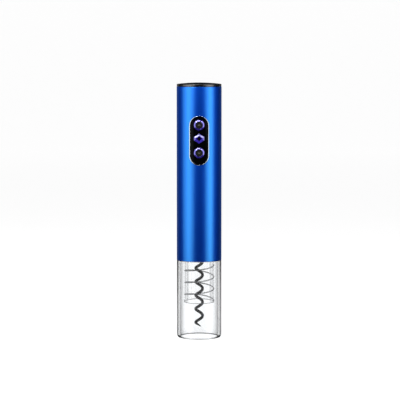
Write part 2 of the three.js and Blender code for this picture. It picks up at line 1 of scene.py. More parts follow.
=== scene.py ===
"""Looks for a cordless electric wine opener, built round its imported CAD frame.

Sizes in the classes are in millimetres, and are turned to metres as a mesh is made. The opener stands on
z = 0 with its axis on Z, and its keypad faces -Y.
"""
import json
import logging
import math
from collections.abc import Callable, Iterable, Sequence
from dataclasses import dataclass
from enum import Enum
from typing import Any

import bmesh
import bpy
from mathutils import Matrix, Vector


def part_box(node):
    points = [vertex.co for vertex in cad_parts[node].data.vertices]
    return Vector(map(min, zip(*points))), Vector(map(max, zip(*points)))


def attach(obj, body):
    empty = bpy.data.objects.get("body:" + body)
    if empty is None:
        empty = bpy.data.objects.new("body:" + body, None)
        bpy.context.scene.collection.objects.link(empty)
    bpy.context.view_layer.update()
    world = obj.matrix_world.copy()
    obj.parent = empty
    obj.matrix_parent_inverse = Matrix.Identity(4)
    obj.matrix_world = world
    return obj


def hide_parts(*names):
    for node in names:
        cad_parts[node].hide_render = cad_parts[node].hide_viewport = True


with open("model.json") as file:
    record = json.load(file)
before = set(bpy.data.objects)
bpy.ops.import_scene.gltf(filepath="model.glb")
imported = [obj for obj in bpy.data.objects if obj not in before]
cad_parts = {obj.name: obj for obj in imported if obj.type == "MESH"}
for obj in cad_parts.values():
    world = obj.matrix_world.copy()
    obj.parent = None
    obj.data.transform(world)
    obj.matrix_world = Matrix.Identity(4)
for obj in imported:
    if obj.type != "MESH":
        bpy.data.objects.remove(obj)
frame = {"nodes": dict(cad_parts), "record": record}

logging.basicConfig(level=logging.INFO, format="%(message)s")
log = logging.getLogger("opener")

MM = 0.001
FULL_TURN = 2 * math.pi
SAME_POINT = 1e-4  # vertices nearer than this are merged
SMOOTHEST = 0.02  # the least roughness that a wandering one reaches
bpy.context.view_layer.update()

# Sockets that share their names on a Mix or Mix Shader node go by number.
AMOUNT, FIRST_COLOUR, SECOND_COLOUR, MIXED_COLOUR = 0, 6, 7, 2
FIRST_SHADER, SECOND_SHADER = 1, 2

Outline = Sequence[tuple[float, float]]
Stretch = tuple[float, float, float]
EVEN: Stretch = (1.0, 1.0, 1.0)


# ---- colour and node helpers --------------------------------------------------------------------
def linear(colour: str) -> tuple[float, float, float, float]:
    """Turn an sRGB hex colour to linear light, by the curve of the sRGB standard.

    Args:
        colour: Six hex digits, such as "0a5ae1".

    Returns:
        Red, green, blue and an alpha of one.
    """
    parts = (int(colour[i:i + 2], 16) / 255 for i in (0, 2, 4))
    red, green, blue = (p / 12.92 if p <= 0.04045 else ((p + 0.055) / 1.055) ** 2.4 for p in parts)
    return red, green, blue, 1.0


def add_node(
    tree: bpy.types.NodeTree,
    kind: str,
    settings: dict[str | int, Any] | None = None,
    links: dict[str | int, bpy.types.NodeSocket] | None = None,
) -> bpy.types.Node:
    """Add a shader node with its settings and links.

    Args:
        tree: The material's node tree.
        kind: The node's type, such as "ShaderNodeTexNoise".
        settings: Values by input name or number, or by property name where no input has it.
        links: Output sockets to join, by input name or number.

    Returns:
        The new node.
    """
    node = tree.nodes.new(kind)
    for key, value in (settings or {}).items():
        if isinstance(key, int) or key in node.inputs:
            node.inputs[key].default_value = value
        else:
            setattr(node, key, value)
    for key, socket in (links or {}).items():
        tree.links.new(socket, node.inputs[key])
    return node


def per_metre(size_mm: float) -> float:
    """Give the texture scale whose cells are this many millimetres wide."""
    return 1 / (size_mm * MM)


class Draft:
    """A material under construction: a Principled shader, and patterns placed by Object coordinates."""

    def __init__(self, name: str, colour: str, roughness: float) -> None:
        """Start the material.

        Args:
            name: Its name.
            colour: Its base colour, as sRGB hex.
            roughness: Its roughness.
        """
        self.colour, self.roughness = colour, roughness
        self.material = bpy.data.materials.new(name)
        self.material.use_nodes = True
        self.tree = self.material.node_tree
        self.tree.nodes.clear()
        self.shader = add_node(
            self.tree, "ShaderNodeBsdfPrincipled", {"Base Color": linear(colour), "Roughness": roughness}
        )
        self.surface = self.shader.outputs["BSDF"]
        self.place = add_node(self.tree, "ShaderNodeTexCoord").outputs["Object"]

    def finish(self) -> bpy.types.Material:
        """Join the last shader to the surface and return the material."""
        add_node(self.tree, "ShaderNodeOutputMaterial", {}, {"Surface": self.surface})
        return self.material

    def set(self, values: dict[str, float]) -> None:
        """Set sockets of the shader, by name, to values that are the same all over."""
        for name, value in values.items():
            self.shader.inputs[name].default_value = value

    def patches(self, size_mm: float, detail: float, stretch: Stretch) -> bpy.types.NodeSocket:
        """Give a soft pattern whose patches have one size.

        Args:
            size_mm: How wide a patch is.
            detail: How many finer layers it has.
            stretch: How many times narrower a patch is along each axis.

        Returns:
            The pattern, from 0 to 1.
        """
        mapped = add_node(self.tree, "ShaderNodeMapping", {"Scale": stretch}, {"Vector": self.place})
        settings = {"Scale": per_metre(size_mm), "Detail": detail}
        links = {"Vector": mapped.outputs["Vector"]}
        return add_node(self.tree, "ShaderNodeTexNoise", settings, links).outputs["Fac"]

    def vary(self, size_mm: float, spread: float, stretch: Stretch = EVEN) -> None:
        """Let the roughness wander about its value.

        Args:
            size_mm: How wide a patch is.
            spread: How far the roughness goes to each side.
            stretch: How many times narrower a patch is along each axis.
        """
        low, high = max(SMOOTHEST, self.roughness - spread), self.roughness + spread
        links = {"Value": self.patches(size_mm, 3.0, stretch)}
        span = add_node(self.tree, "ShaderNodeMapRange", {"To Min": low, "To Max": high}, links)
        self.tree.links.new(span.outputs["Result"], self.shader.inputs["Roughness"])

    def grain(
        self, size_mm: float, depth_mm: float, stretch: Stretch = EVEN, shader: bpy.types.Node | None = None
    ) -> None:
        """Raise a fine grain as bump.

        Args:
            size_mm: How wide a grain is.
            depth_mm: How high a grain stands.
            stretch: How many times narrower a grain is along each axis.
            shader: The shader that it goes to, or None for the first.
        """
        settings = {"Strength": 1.0, "Distance": depth_mm * MM}
        links = {"Height": self.patches(size_mm, 2.0, stretch)}
        bump = add_node(self.tree, "ShaderNodeBump", settings, links)
        self.tree.links.new(bump.outputs["Normal"], (shader or self.shader).inputs["Normal"])

    def tint(self, other: str, amount: bpy.types.NodeSocket) -> None:
        """Mix another colour into the base colour.

        Args:
            other: The other colour, as sRGB hex.
            amount: How much of it there is, from 0 to 1.
        """
        colours = {FIRST_COLOUR: linear(self.colour), SECOND_COLOUR: linear(other)}
        mix = add_node(self.tree, "ShaderNodeMix", {"data_type": "RGBA", **colours}, {AMOUNT: amount})
        self.tree.links.new(mix.outputs[MIXED_COLOUR], self.shader.inputs["Base Color"])

    def blotch(self, other: str, size_mm: float, share: float) -> None:
        """Let the colour wander towards another over soft patches.

        Args:
            other: The other colour, as sRGB hex.
            size_mm: How wide a patch is.
            share: The most of the other colour, from 0 to 1.
        """
        links = {"Value": self.patches(size_mm, 2.0, EVEN)}
        amount = add_node(self.tree, "ShaderNodeMapRange", {"To Max": share}, links)
        self.tint(other, amount.outputs["Result"])

    def turned_away(
        self, start: float, end: float, face_on: float = 0.0, edge_on: float = 1.0
    ) -> bpy.types.NodeSocket:
        """Give a value that rises as the surface turns away.

        Args:
            start: Where it starts to rise, from 0 face on to 1 edge on.
            end: Where it stops.
            face_on: Its value face on.
            edge_on: Its value edge on.

        Returns:
            The value.
        """
        weight = add_node(self.tree, "ShaderNodeLayerWeight", {"Blend": 0.5})
        settings = {"From Min": start, "From Max": end, "To Min": face_on, "To Max": edge_on}
        links = {"Value": weight.outputs["Facing"]}
        return add_node(self.tree, "ShaderNodeMapRange", settings, links).outputs["Result"]


# ---- finishes -----------------------------------------------------------------------------------
@dataclass(frozen=True)
class Finish:
    """A surface finish: a name, a colour and how rough it is. Each kind of finish adds its own detail."""

    name: str
    colour: str
    roughness: float

    def build(self) -> bpy.types.Material:
        """Make the material, or find it if it is made.

        Returns:
            The material, with its surface detail.
        """
        found = bpy.data.materials.get(self.name)
        if found:
            return found
        draft = Draft(self.name, self.colour, self.roughness)
        self.dress(draft)
        return draft.finish()

    def dress(self, draft: Draft) -> None:
        """Add this finish's detail to its material. A plain finish has none."""


@dataclass(frozen=True)
class AnodisedAluminium(Finish):
    """Extruded aluminium, bead blasted, dyed and sealed.

    Light that reaches the dyed pores comes back deep blue over a wide lobe. The sealed skin sends back a
    paler and tighter one, so highlights pale at their middle. Blasting leaves a grain of about 0.1 mm, drawn
    at 0.35 mm so that it shows. The die leaves very faint lines along the tube.
    """

    skin: str = "5cd0ff"
    skin_roughness: float = 0.27
    skin_share: float = 0.3
    bead_mm: float = 0.35
    pore_depth_mm: float = 0.0016
    skin_depth_mm: float = 0.0012
    die_line_mm: float = 2.2
    die_line_spread: float = 0.02
    die_stretch: Stretch = (1.0, 1.0, 0.02)

    def dress(self, draft: Draft) -> None:
        """Draw the metal through its die, blast it, dye it and seal it.

        Args:
            draft: Its material.
        """
        draft.set({"Metallic": 1.0})
        draft.vary(self.die_line_mm, self.die_line_spread, self.die_stretch)
        draft.grain(self.bead_mm, self.pore_depth_mm)
        settings = {"Base Color": linear(self.skin), "Metallic": 1.0, "Roughness": self.skin_roughness}
        sealed = add_node(draft.tree, "ShaderNodeBsdfPrincipled", settings)
        draft.grain(self.bead_mm, self.skin_depth_mm, EVEN, sealed)
        shaders = {FIRST_SHADER: draft.surface, SECOND_SHADER: sealed.outputs["BSDF"]}
        both = add_node(draft.tree, "ShaderNodeMixShader", {AMOUNT: self.skin_share}, shaders)
        draft.surface = both.outputs["Shader"]


@dataclass(frozen=True)
class PolishedAbs(Finish):
    """ABS from a polished mould: deep gloss, with wipe marks that only show in a highlight."""

    ior: float = 1.54
    specular: float = 0.5
    coat: float = 0.0
    wipe_mm: float = 6.0
    wipe_spread: float = 0.025
    wipe_stretch: Stretch = (1.0, 1.0, 0.4)

    def dress(self, draft: Draft) -> None:
        """Polish the plastic and leave faint wipe marks.

        Args:
            draft: Its material.
        """
        draft.set({"IOR": self.ior, "Specular IOR Level": self.specular})
        draft.set({"Coat Weight": self.coat, "Coat Roughness": self.roughness})
        draft.vary(self.wipe_mm, self.wipe_spread, self.wipe_stretch)


@dataclass(frozen=True)
class TexturedMoulding(Finish):
    """Plastic from a spark-eroded mould: an even, dull grain, and a colour that wanders slightly."""

    grain_mm: float = 0.4
    depth_mm: float = 0.02
    specular: float = 0.5
    ior: float = 1.52
    flow_colour: str = "303236"
    flow_mm: float = 9.0
    flow_share: float = 0.18

    def dress(self, draft: Draft) -> None:
        """Grain the plastic and let its colour wander with its flow.

        Args:
            draft: Its material.
        """
        draft.set({"IOR": self.ior, "Specular IOR Level": self.specular})
        draft.grain(self.grain_mm, self.depth_mm)
        draft.blotch(self.flow_colour, self.flow_mm, self.flow_share)


@dataclass(frozen=True)
class ClearPolycarbonate(Finish):
    """Clear injection-moulded polycarbonate: it bends what is seen through it, and grey is painted into its
    colour where it turns edge on, as painted shade standing in for the dark surroundings that its edges bend
    in.

    Lamps pass straight through it, because bent light would leave the worm inside it too dark.
    """

    ior: float = 1.5
    painted_edge_shade: str = "2e3032"
    turns_at: float = 0.3
    turned_at: float = 0.8
    lamp_colour: str = "f4f6f7"

    def dress(self, draft: Draft) -> None:
        """Clear the plastic, let lamps through, and paint grey shade into it where it turns edge on.

        Args:
            draft: Its material.
        """
        draft.set({"IOR": self.ior, "Transmission Weight": 1.0})
        # Painted shade: the colour turns grey where the surface turns edge on, standing in for dark
        # surroundings bent into the edges.
        draft.tint(self.painted_edge_shade, draft.turned_away(self.turns_at, self.turned_at))
        through = add_node(draft.tree, "ShaderNodeBsdfTransparent", {"Color": linear(self.lamp_colour)})
        to_lamp = add_node(draft.tree, "ShaderNodeLightPath").outputs["Is Shadow Ray"]
        links = {AMOUNT: to_lamp, FIRST_SHADER: draft.surface, SECOND_SHADER: through.outputs["BSDF"]}
        draft.surface = add_node(draft.tree, "ShaderNodeMixShader", {}, links).outputs["Shader"]


@dataclass(frozen=True)
class ThinClearMoulding(Finish):
    """A clear wall too thin to bend what is behind it: almost unseen face on, with a grey cover rising edge
    on that is painted shade for a clear wall's dark edges.
    """

    face_on: float = 0.0
    edge_on: float = 0.5
    turns_at: float = 0.35
    ior: float = 1.58
    flow_mm: float = 8.0
    flow_spread: float = 0.03

    def dress(self, draft: Draft) -> None:
        """Thin the wall, and let its gloss wander with the plastic's flow.

        Args:
            draft: Its material.
        """
        draft.set({"IOR": self.ior})
        # Painted shade: a grey cover that shows only edge on stands in for the dark edges that bent
        # surroundings give a clear wall.
        cover = draft.turned_away(self.turns_at, 1.0, self.face_on, self.edge_on)
        draft.tree.links.new(cover, draft.shader.inputs["Alpha"])
        draft.vary(self.flow_mm, self.flow_spread)


@dataclass(frozen=True)
class NonStickSteel(Finish):
    """Steel wire under a sprayed fluoropolymer coat: black, half glossy, with a faint orange peel."""

    ior: float = 1.35
    specular: float = 0.2
    peel_mm: float = 0.9
    peel_depth_mm: float = 0.008
    thin_colour: str = "0e0e10"
    thin_mm: float = 5.0
    thin_share: float = 0.5

    def dress(self, draft: Draft) -> None:
        """Spray the coat on, a little thinner in places.

        Args:
            draft: Its material.
        """
        draft.set({"IOR": self.ior, "Specular IOR Level": self.specular})
        draft.grain(self.peel_mm, self.peel_depth_mm)
        draft.blotch(self.thin_colour, self.thin_mm, self.thin_share)


@dataclass(frozen=True)
class VacuumPlating(Finish):
    """Metal laid on smooth plastic in a vacuum and tinted: a mirror whose reflections carry the tint."""

    metal: float = 0.65
    coat_ior: float = 2.1
    coat_roughness: float = 0.14
    ripple_mm: float = 1.6
    ripple_depth_mm: float = 0.004

    def dress(self, draft: Draft) -> None:
        """Plate the plastic. Its mirror ripples very slightly with the moulding under it.

        Args:
            draft: Its material.
        """
        draft.set({"Metallic": self.metal, "Coat Weight": 1.0})
        draft.set({"Coat Roughness": self.coat_roughness, "Coat IOR": self.coat_ior})
        draft.grain(self.ripple_mm, self.ripple_depth_mm)


@dataclass(frozen=True)
class TintedLens(Finish):
    """Acrylic lens, tinted in the mass: glossy, with a little of its colour glowing from within."""

    glow: float = 0.12
    ior: float = 1.49
    coat_ior: float = 1.7
    coat_roughness: float = 0.2
    deep_colour: str = "1a0f80"
    deep_mm: float = 2.5
    deep_share: float = 0.7

    def dress(self, draft: Draft) -> None:
        """Tint the lens, deeper in places, and let it glow.

        Args:
            draft: Its material.
        """
        draft.shader.inputs["Emission Color"].default_value = linear(self.colour)
        draft.set({"IOR": self.ior, "Emission Strength": self.glow, "Coat Weight": 1.0})
        draft.set({"Coat Roughness": self.coat_roughness, "Coat IOR": self.coat_ior})
        draft.blotch(self.deep_colour, self.deep_mm, self.deep_share)


@dataclass(frozen=True)
class WorkedMetal(Finish):
    """Bare metal as it was worked, with fine tool marks. Stretch draws them out along an axis."""

    mark_mm: float = 0.6
    depth_mm: float = 0.003
    stretch: Stretch = EVEN
    marks_a_patch: int = 4
    patch_spread: float = 0.07

    def dress(self, draft: Draft) -> None:
        """Leave tool marks in the metal, and let its gloss wander over patches of them.

        Args:
            draft: Its material.
        """
        draft.set({"Metallic": 1.0})
        draft.vary(self.mark_mm * self.marks_a_patch, self.patch_spread, self.stretch)
        draft.grain(self.mark_mm, self.depth_mm, self.stretch)


@dataclass(frozen=True)
class SoftSkin(Finish):
    """Rubber or PVC: dull, slightly uneven, with a soft sheen where it turns away."""

    sheen: float = 0.15
    patch_mm: float = 1.5
    patch_spread: float = 0.08
    grain_mm: float = 0.5
    depth_mm: float = 0.01

    def dress(self, draft: Draft) -> None:
        """Dull the skin.

        Args:
            draft: Its material.
        """
        draft.set({"Sheen Weight": self.sheen})
        draft.vary(self.patch_mm, self.patch_spread)
        draft.grain(self.grain_mm, self.depth_mm)


@dataclass(frozen=True)
class SolderMask(Finish):
    """Green lacquer on glass cloth, whose 0.5 mm weave shows through as a faint relief."""

    lacquer: float = 0.6
    lacquer_roughness: float = 0.15
    weave_mm: float = 0.5
    weave_depth_mm: float = 0.02
    weave_strength: float = 0.6
    weave_drift: float = 0.4
    thin_colour: str = "0d3a1c"
    thin_mm: float = 4.0
    thin_share: float = 0.6

    def dress(self, draft: Draft) -> None:
        """Lay the weave under the lacquer.

        Args:
            draft: Its material.
        """
        draft.set({"Coat Weight": self.lacquer, "Coat Roughness": self.lacquer_roughness})
        settings = {"Scale": per_metre(self.weave_mm) / FULL_TURN, "Distortion": self.weave_drift}
        settings["bands_direction"] = "DIAGONAL"
        weave = add_node(draft.tree, "ShaderNodeTexWave", settings, {"Vector": draft.place})
        relief = {"Strength": self.weave_strength, "Distance": self.weave_depth_mm * MM}
        bump = add_node(draft.tree, "ShaderNodeBump", relief, {"Height": weave.outputs["Fac"]})
        draft.tree.links.new(bump.outputs["Normal"], draft.shader.inputs["Normal"])
        draft.blotch(self.thin_colour, self.thin_mm, self.thin_share)


ALONG_BODY: Stretch = (1.0, 1.0, 0.05)
ACROSS_BODY: Stretch = (0.1, 1.0, 1.0)

PAINTS: dict[str, Finish] = {
    # The outside: a satin blue tube, black gloss and a bright line round it, violet mirrors, clear walls.
    "anodised_blue": AnodisedAluminium("blue anodised aluminium", "0058fc", 0.53),
    "gloss_black": PolishedAbs("gloss black ABS", "030304", 0.1, specular=0.06, coat=0.0),
    "bright_rim": WorkedMetal("diamond-cut aluminium edge", "cfe2f5", 0.16, 0.5, 0.001),
    "violet_chrome": VacuumPlating("violet vacuum plating", "3826b0", 0.2),
    "violet_lens": TintedLens("violet acrylic", "33209c", 0.06),
    "button_olive": TexturedMoulding("textured olive-black rubber", "14140f", 0.62, 0.5, 0.03, 0.12),
    "clear_polycarbonate": ClearPolycarbonate("clear polycarbonate", "fbfcfd", 0.02),
    "coated_worm": NonStickSteel("black non-stick coated steel", "060607", 0.4),
    # Inner mouldings: dull and grained, the acetal a little waxy.
    "moulded_black": TexturedMoulding("textured black nylon", "141518", 0.55),
    "moulded_grey": TexturedMoulding("textured grey ABS", "5a5e63", 0.6),
    "gear_acetal": TexturedMoulding("natural acetal", "e6e1d2", 0.42, 0.8, 0.006),
    "diode_white": TexturedMoulding("diode phosphor and resin", "efe6a8", 0.4, 0.3, 0.005),
    "board_green": SolderMask("green solder mask", "14562b", 0.35),
    "seal_rubber": SoftSkin("nitrile rubber", "151515", 0.7),
    "lead_red": SoftSkin("red PVC insulation", "a3161a", 0.5),
    "lead_black": SoftSkin("black PVC insulation", "131313", 0.5),
    # Inner metals: drawn ones have long soft streaks, sintered ones are matt and pitted.
    "screw_steel": WorkedMetal("zinc-plated screw steel", "b9bcc2", 0.3, 0.4),
    "motor_steel": WorkedMetal("deep-drawn motor steel", "a8abb0", 0.34, 0.8, 0.003, ALONG_BODY),
    "gear_steel": WorkedMetal("sintered gear steel", "8c8a85", 0.42, 0.3, 0.01),
    "bush_bronze": WorkedMetal("oil-filled sintered bronze", "a67a43", 0.4, 0.3, 0.008),
    "contact_nickel": WorkedMetal("nickel-plated spring steel", "cfccc2", 0.24, 0.6, 0.002, ACROSS_BODY),
    "cell_jacket": WorkedMetal("printed shrink film over steel", "3c4c66", 0.32, 3.0, 0.002),
}

# The cap is glossier than the panel, and its edge catches a soft pale line.
CAP_GLOSS = PolishedAbs("polished black cap ABS", "060606", 0.26, specular=1.0, coat=1.0)
# The arrows are flat and only a little paler than the discs.
ARROW_INK = TexturedMoulding("printed grey ink", "5a5a4a", 0.5, 0.3, 0.004, 0.2)
# The guide's wall shows as two faint upright lines, and its ribs as thin dark ones: painted shade, drawn by
# a grey cover seen edge on.
GUIDE_WALL = ThinClearMoulding("thin clear polycarbonate wall", "3c4044", 0.06)
GUIDE_RIB = ThinClearMoulding("clear polycarbonate rib", "2c2f32", 0.1, 0.5, 0.7, 0.1)
# A grey ring under the rim: painted shade standing in for the contact shadow along the rim's bottom edge.
CONTACT_SHADOW_RING = TexturedMoulding("painted contact shadow ring", "5c6064", 0.6, 0.5, 0.01)


# ---- modelling ----------------------------------------------------------------------------------
class Side(Enum):
    """Which way a turned shape's axis points."""

    UP = "up the body"
    FRONT = "out of the keypad"


class Carve(Enum):
    """What one solid does to another."""

    JOIN = "UNION"
    CUT = "DIFFERENCE"


def arc(
    centre: tuple[float, float], radius: float, start: float, end: float, steps: int
) -> list[tuple[float, float]]:
    """Give points along an arc, for a profile.

    Args:
        centre: The arc's centre.
        radius: Its radius.
        start: The angle of its first point, in degrees.
        end: The angle of its last point, in degrees.
        steps: How many chords it has.

    Returns:
        steps + 1 points.
    """
    angles = (math.radians(start + (end - start) * i / steps) for i in range(steps + 1))
    return [(centre[0] + radius * math.cos(a), centre[1] + radius * math.sin(a)) for a in angles]


def ahead_of(distance: float) -> Callable[[Vector], bool]:
    """Give a test of whether a point is further in front of the body's axis than a distance."""
    return lambda at: at.y < -distance


class Solid:
    """A mesh under construction, in millimetres. The studio's paper is in metres."""

    def __init__(self) -> None:
        """Start with nothing."""
        self.mesh = bmesh.new()

    @classmethod
    def turned(cls, profile: Outline, steps: int, side: Side = Side.UP) -> "Solid":
        """Turn a profile of (radius, height) points about Z.

        Args:
            profile: Its points in order. A profile that leaves the axis closes on itself.
            steps: How many steps make the full turn.
            side: FRONT lays the axis along -Y, so that a height becomes a distance in front of Z.

        Returns:
            The solid.
        """
        solid = cls()
        mesh = solid.mesh
        points = [mesh.verts.new((radius, 0, height)) for radius, height in profile]
        edges = [mesh.edges.new(pair) for pair in zip(points, points[1:])]
        if profile[0][0] > 0:
            edges.append(mesh.edges.new((points[-1], points[0])))
        bmesh.ops.spin(
            mesh,
            geom=points + edges,
            cent=(0, 0, 0),
            axis=(0, 0, 1),
            angle=FULL_TURN,
            steps=steps,
            use_merge=True,
        )
        solid.clean()
        if side is Side.FRONT:
            solid.transform(Matrix.Rotation(math.pi / 2, 4, "X"))
        return solid

    @classmethod
    def plate(cls, outline: Outline, low: float, high: float) -> "Solid":
        """Give an upright outline a thickness towards the front.

        Args:
            outline: Its (x, z) corners in order.
            low: How far its back is in front of the body's axis.
            high: How far its front is.

        Returns:
            The closed solid.
        """
        solid = cls()
        mesh = solid.mesh
        face = mesh.faces.new([mesh.verts.new((x, -low, z)) for x, z in outline])
        grown = bmesh.ops.extrude_face_region(mesh, geom=[face], use_keep_orig=True)
        moved = [item for item in grown["geom"] if isinstance(item, bmesh.types.BMVert)]
        bmesh.ops.translate(mesh, verts=moved, vec=(0, low - high, 0))
        solid.clean()
        return solid

    @classmethod
    def stadium(
        cls, width: float, height: float, low: float, high: float, z: float, steps: int = 96
    ) -> "Solid":
        """Make an upright plate with round ends.

        Args:
            width: Its width.
            height: Its height.
            low: How far its back is in front of the body's axis.
            high: How far its front is.
            z: The height of its middle.
            steps: How many chords make its two round ends.

        Returns:
            The closed solid.
        """
        radius, straight = width / 2, (height - width) / 2
        ends = []
        for step in range(steps):
            angle = FULL_TURN * (step + 0.5) / steps
            lift = straight if math.sin(angle) > 0 else -straight
            ends.append((radius * math.cos(angle), z + lift + radius * math.sin(angle)))
        return cls.plate(ends, low, high)

    @classmethod
    def swept(
        cls, path: Sequence[Matrix], section: float, sides: int, thick: Callable[[float], float]
    ) -> "Solid":
        """Draw a round section along a path.

        Args:
            path: A frame at each step, whose Z axis is the way forward.
            section: The section's radius.
            sides: How many sides it has.
            thick: How much of its thickness it has at a share of the way, from 0 to 1.

        Returns:
            The closed solid, with a flat cap at each end.
        """
        solid = cls()
        mesh = solid.mesh
        ring = bmesh.ops.create_circle(mesh, cap_ends=False, radius=section, segments=sides)["verts"]
        edges = list({edge for vert in ring for edge in vert.link_edges})
        resting = [vert.co.copy() for vert in ring]
        for vert, place in zip(ring, resting):
            vert.co = path[0] @ (place * thick(0.0))
        bmesh.ops.contextual_create(mesh, geom=edges)
        for number, at in enumerate(path[1:], start=1):
            size = thick(number / (len(path) - 1))
            grown = bmesh.ops.extrude_edge_only(mesh, edges=edges)["geom"]
            ring = [item for item in grown if isinstance(item, bmesh.types.BMVert)]
            edges = [item for item in grown if isinstance(item, bmesh.types.BMEdge)]
            for vert, place in zip(ring, resting):
                vert.co = at @ (place * size)
        bmesh.ops.contextual_create(mesh, geom=edges)
        solid.clean()
        return solid

    def clean(self) -> None:
        """Merge doubles and point the faces outwards."""
        bmesh.ops.remove_doubles(self.mesh, verts=self.mesh.verts[:], dist=SAME_POINT)
        bmesh.ops.recalc_face_normals(self.mesh, faces=self.mesh.faces[:])

    def transform(self, matrix: Matrix) -> "Solid":
        """Move or turn the solid, and return it."""
        bmesh.ops.transform(self.mesh, matrix=matrix, verts=self.mesh.verts[:])
        return self

    def carve(self, other: "Solid", how: Carve) -> "Solid":
        """Join or cut this solid by another, which is used up.

        Args:
            other: The other solid.
            how: What the other does to this one.

        Returns:
            This solid.
        """
        holders = []
        for number, mesh in enumerate((self.mesh, other.mesh)):
            data = bpy.data.meshes.new(f"carving_{number}")
            mesh.to_mesh(data)
            holder = bpy.data.objects.new(data.name, data)
            bpy.context.scene.collection.objects.link(holder)
            holders.append(holder)
        modifier = holders[0].modifiers.new("carve", "BOOLEAN")
        modifier.object, modifier.operation, modifier.solver = holders[1], how.value, "EXACT"
        graph = bpy.context.evaluated_depsgraph_get()
        self.mesh.clear()
        self.mesh.from_mesh(holders[0].evaluated_get(graph).to_mesh())
        for holder in holders:
            data = holder.data
            bpy.data.objects.remove(holder)
            bpy.data.meshes.remove(data)
        other.mesh.free()
        bmesh.ops.remove_doubles(self.mesh, verts=self.mesh.verts[:], dist=SAME_POINT)
        bmesh.ops.dissolve_degenerate(self.mesh, edges=self.mesh.edges[:], dist=SAME_POINT)
        return self

    def slice_across(self, spacing: float, half_width: float) -> "Solid":
        """Add edges along upright planes, so that a flat plate can be bent round the body.

        Args:
            spacing: How far apart the planes are.
            half_width: How far they go to each side.

        Returns:
            This solid.
        """
        count = int(half_width / spacing)
        for step in range(-count, count + 1):
            parts = self.mesh.verts[:] + self.mesh.edges[:] + self.mesh.faces[:]
            cut = (step * spacing, 0, 0)
            bmesh.ops.bisect_plane(self.mesh, geom=parts, plane_co=cut, plane_no=(1, 0, 0))
        return self

    def raise_front(self, width: float, height: float) -> "Solid":
        """Raise the front face inside sloping facets.

        Args:
            width: How wide the facets are, seen from in front.
            height: How far the face comes forward.

        Returns:
            This solid.
        """
        foremost = min(vert.co.y for vert in self.mesh.verts)
        ahead = {vert for vert in self.mesh.verts if abs(vert.co.y - foremost) < SAME_POINT}
        front = [face for face in self.mesh.faces if ahead.issuperset(face.verts)]
        bmesh.ops.inset_region(self.mesh, faces=front, thickness=width, depth=height, use_even_offset=True)
        return self

    def bend_round(self, radius: float) -> "Solid":
        """Bend a plate round the body's axis.

        Args:
            radius: How far its front is from the axis.

        Returns:
            This solid.
        """
        for vert in self.mesh.verts:
            vert.co.y += radius - math.sqrt(radius * radius - vert.co.x * vert.co.x)
        return self

    def soften(
        self, width: float, segments: int, angle: float, where: Callable[[Vector], bool] | None = None
    ) -> "Solid":
        """Round edges that are sharper than an angle.

        Args:
            width: The rounding's width.
            segments: How many faces it has.
            angle: The sharpness, in degrees, above which an edge is rounded.
            where: Says whether an edge whose middle is at a point is taken. All are if it is None.

        Returns:
            This solid.
        """
        chosen = []
        for edge in self.mesh.edges:
            middle = (edge.verts[0].co + edge.verts[1].co) / 2
            sharp = len(edge.link_faces) == 2 and edge.calc_face_angle(0.0) > math.radians(angle)
            if sharp and (where is None or where(middle)):
                chosen.append(edge)
        bmesh.ops.bevel(
            self.mesh,
            geom=chosen,
            offset=width,
            offset_type="OFFSET",
            segments=segments,
            profile=0.5,
            affect="EDGES",
            material=-1,
            clamp_overlap=True,
        )
        return self

    def piece(
        self,
        name: str,
        slot: str,
        body: str,
        nodes: Iterable[str] = (),
        sharp: float = 40.0,
        finish: Finish | None = None,
    ) -> bpy.types.Object:
        """Finish the solid as a piece of the opener.

        Args:
            name: The piece's name.
            slot: The record's material slot, which picks its finish.
            body: The CAD body that it rides on.
            nodes: The CAD nodes that it stands for.
            sharp: The angle, in degrees, past which an edge shows as an edge.
            finish: A finish other than the slot's own.

        Returns:
            The finished object, at the origin.
        """
        self.transform(Matrix.Scale(MM, 4))
        data = bpy.data.meshes.new(name)
        self.mesh.to_mesh(data)
        self.mesh.free()
        data.shade_smooth()
        data.set_sharp_from_angle(angle=math.radians(sharp))
        data.materials.append((finish or PAINTS[slot]).build())
        thing = bpy.data.objects.new(name, data)
        bpy.context.scene.collection.objects.link(thing)
        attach(thing, body)
        nodes = list(nodes)
        if nodes:
            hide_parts(*nodes)
        log.info("%s: %d faces on %s", name, len(data.polygons), body)
        return thing


def helix(radius: float, pitch: float, low: float, turns: float, start: float, steps: int) -> list[Matrix]:
    """Give frames along a right-handed helix round Z.

    Args:
        radius: Its radius.
        pitch: How far it climbs in one turn.
        low: The height of its first point.
        turns: How many turns it makes.
        start: The angle of its first point, in radians.
        steps: How many steps it has.

    Returns:
        steps + 1 frames, each with its Z axis along the helix and its X axis outwards.
    """
    frames = []
    slope = math.atan2(pitch, FULL_TURN * radius)
    for step in range(steps + 1):
        angle = start + FULL_TURN * turns * step / steps
        height = low + pitch * turns * step / steps
        turn = Matrix.Rotation(angle, 4, "Z")
        tilt = Matrix.Rotation(slope - math.pi / 2, 4, "X")
        outwards = Matrix.Translation((radius, 0, 0))
        frames.append(Matrix.Translation((0, 0, height)) @ turn @ outwards @ tilt)
    return frames


def low_and_high(node: str) -> tuple[Vector, Vector]:
    """Give a CAD node's lowest and highest corners in millimetres."""
    low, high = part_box(node)
    return low / MM, high / MM


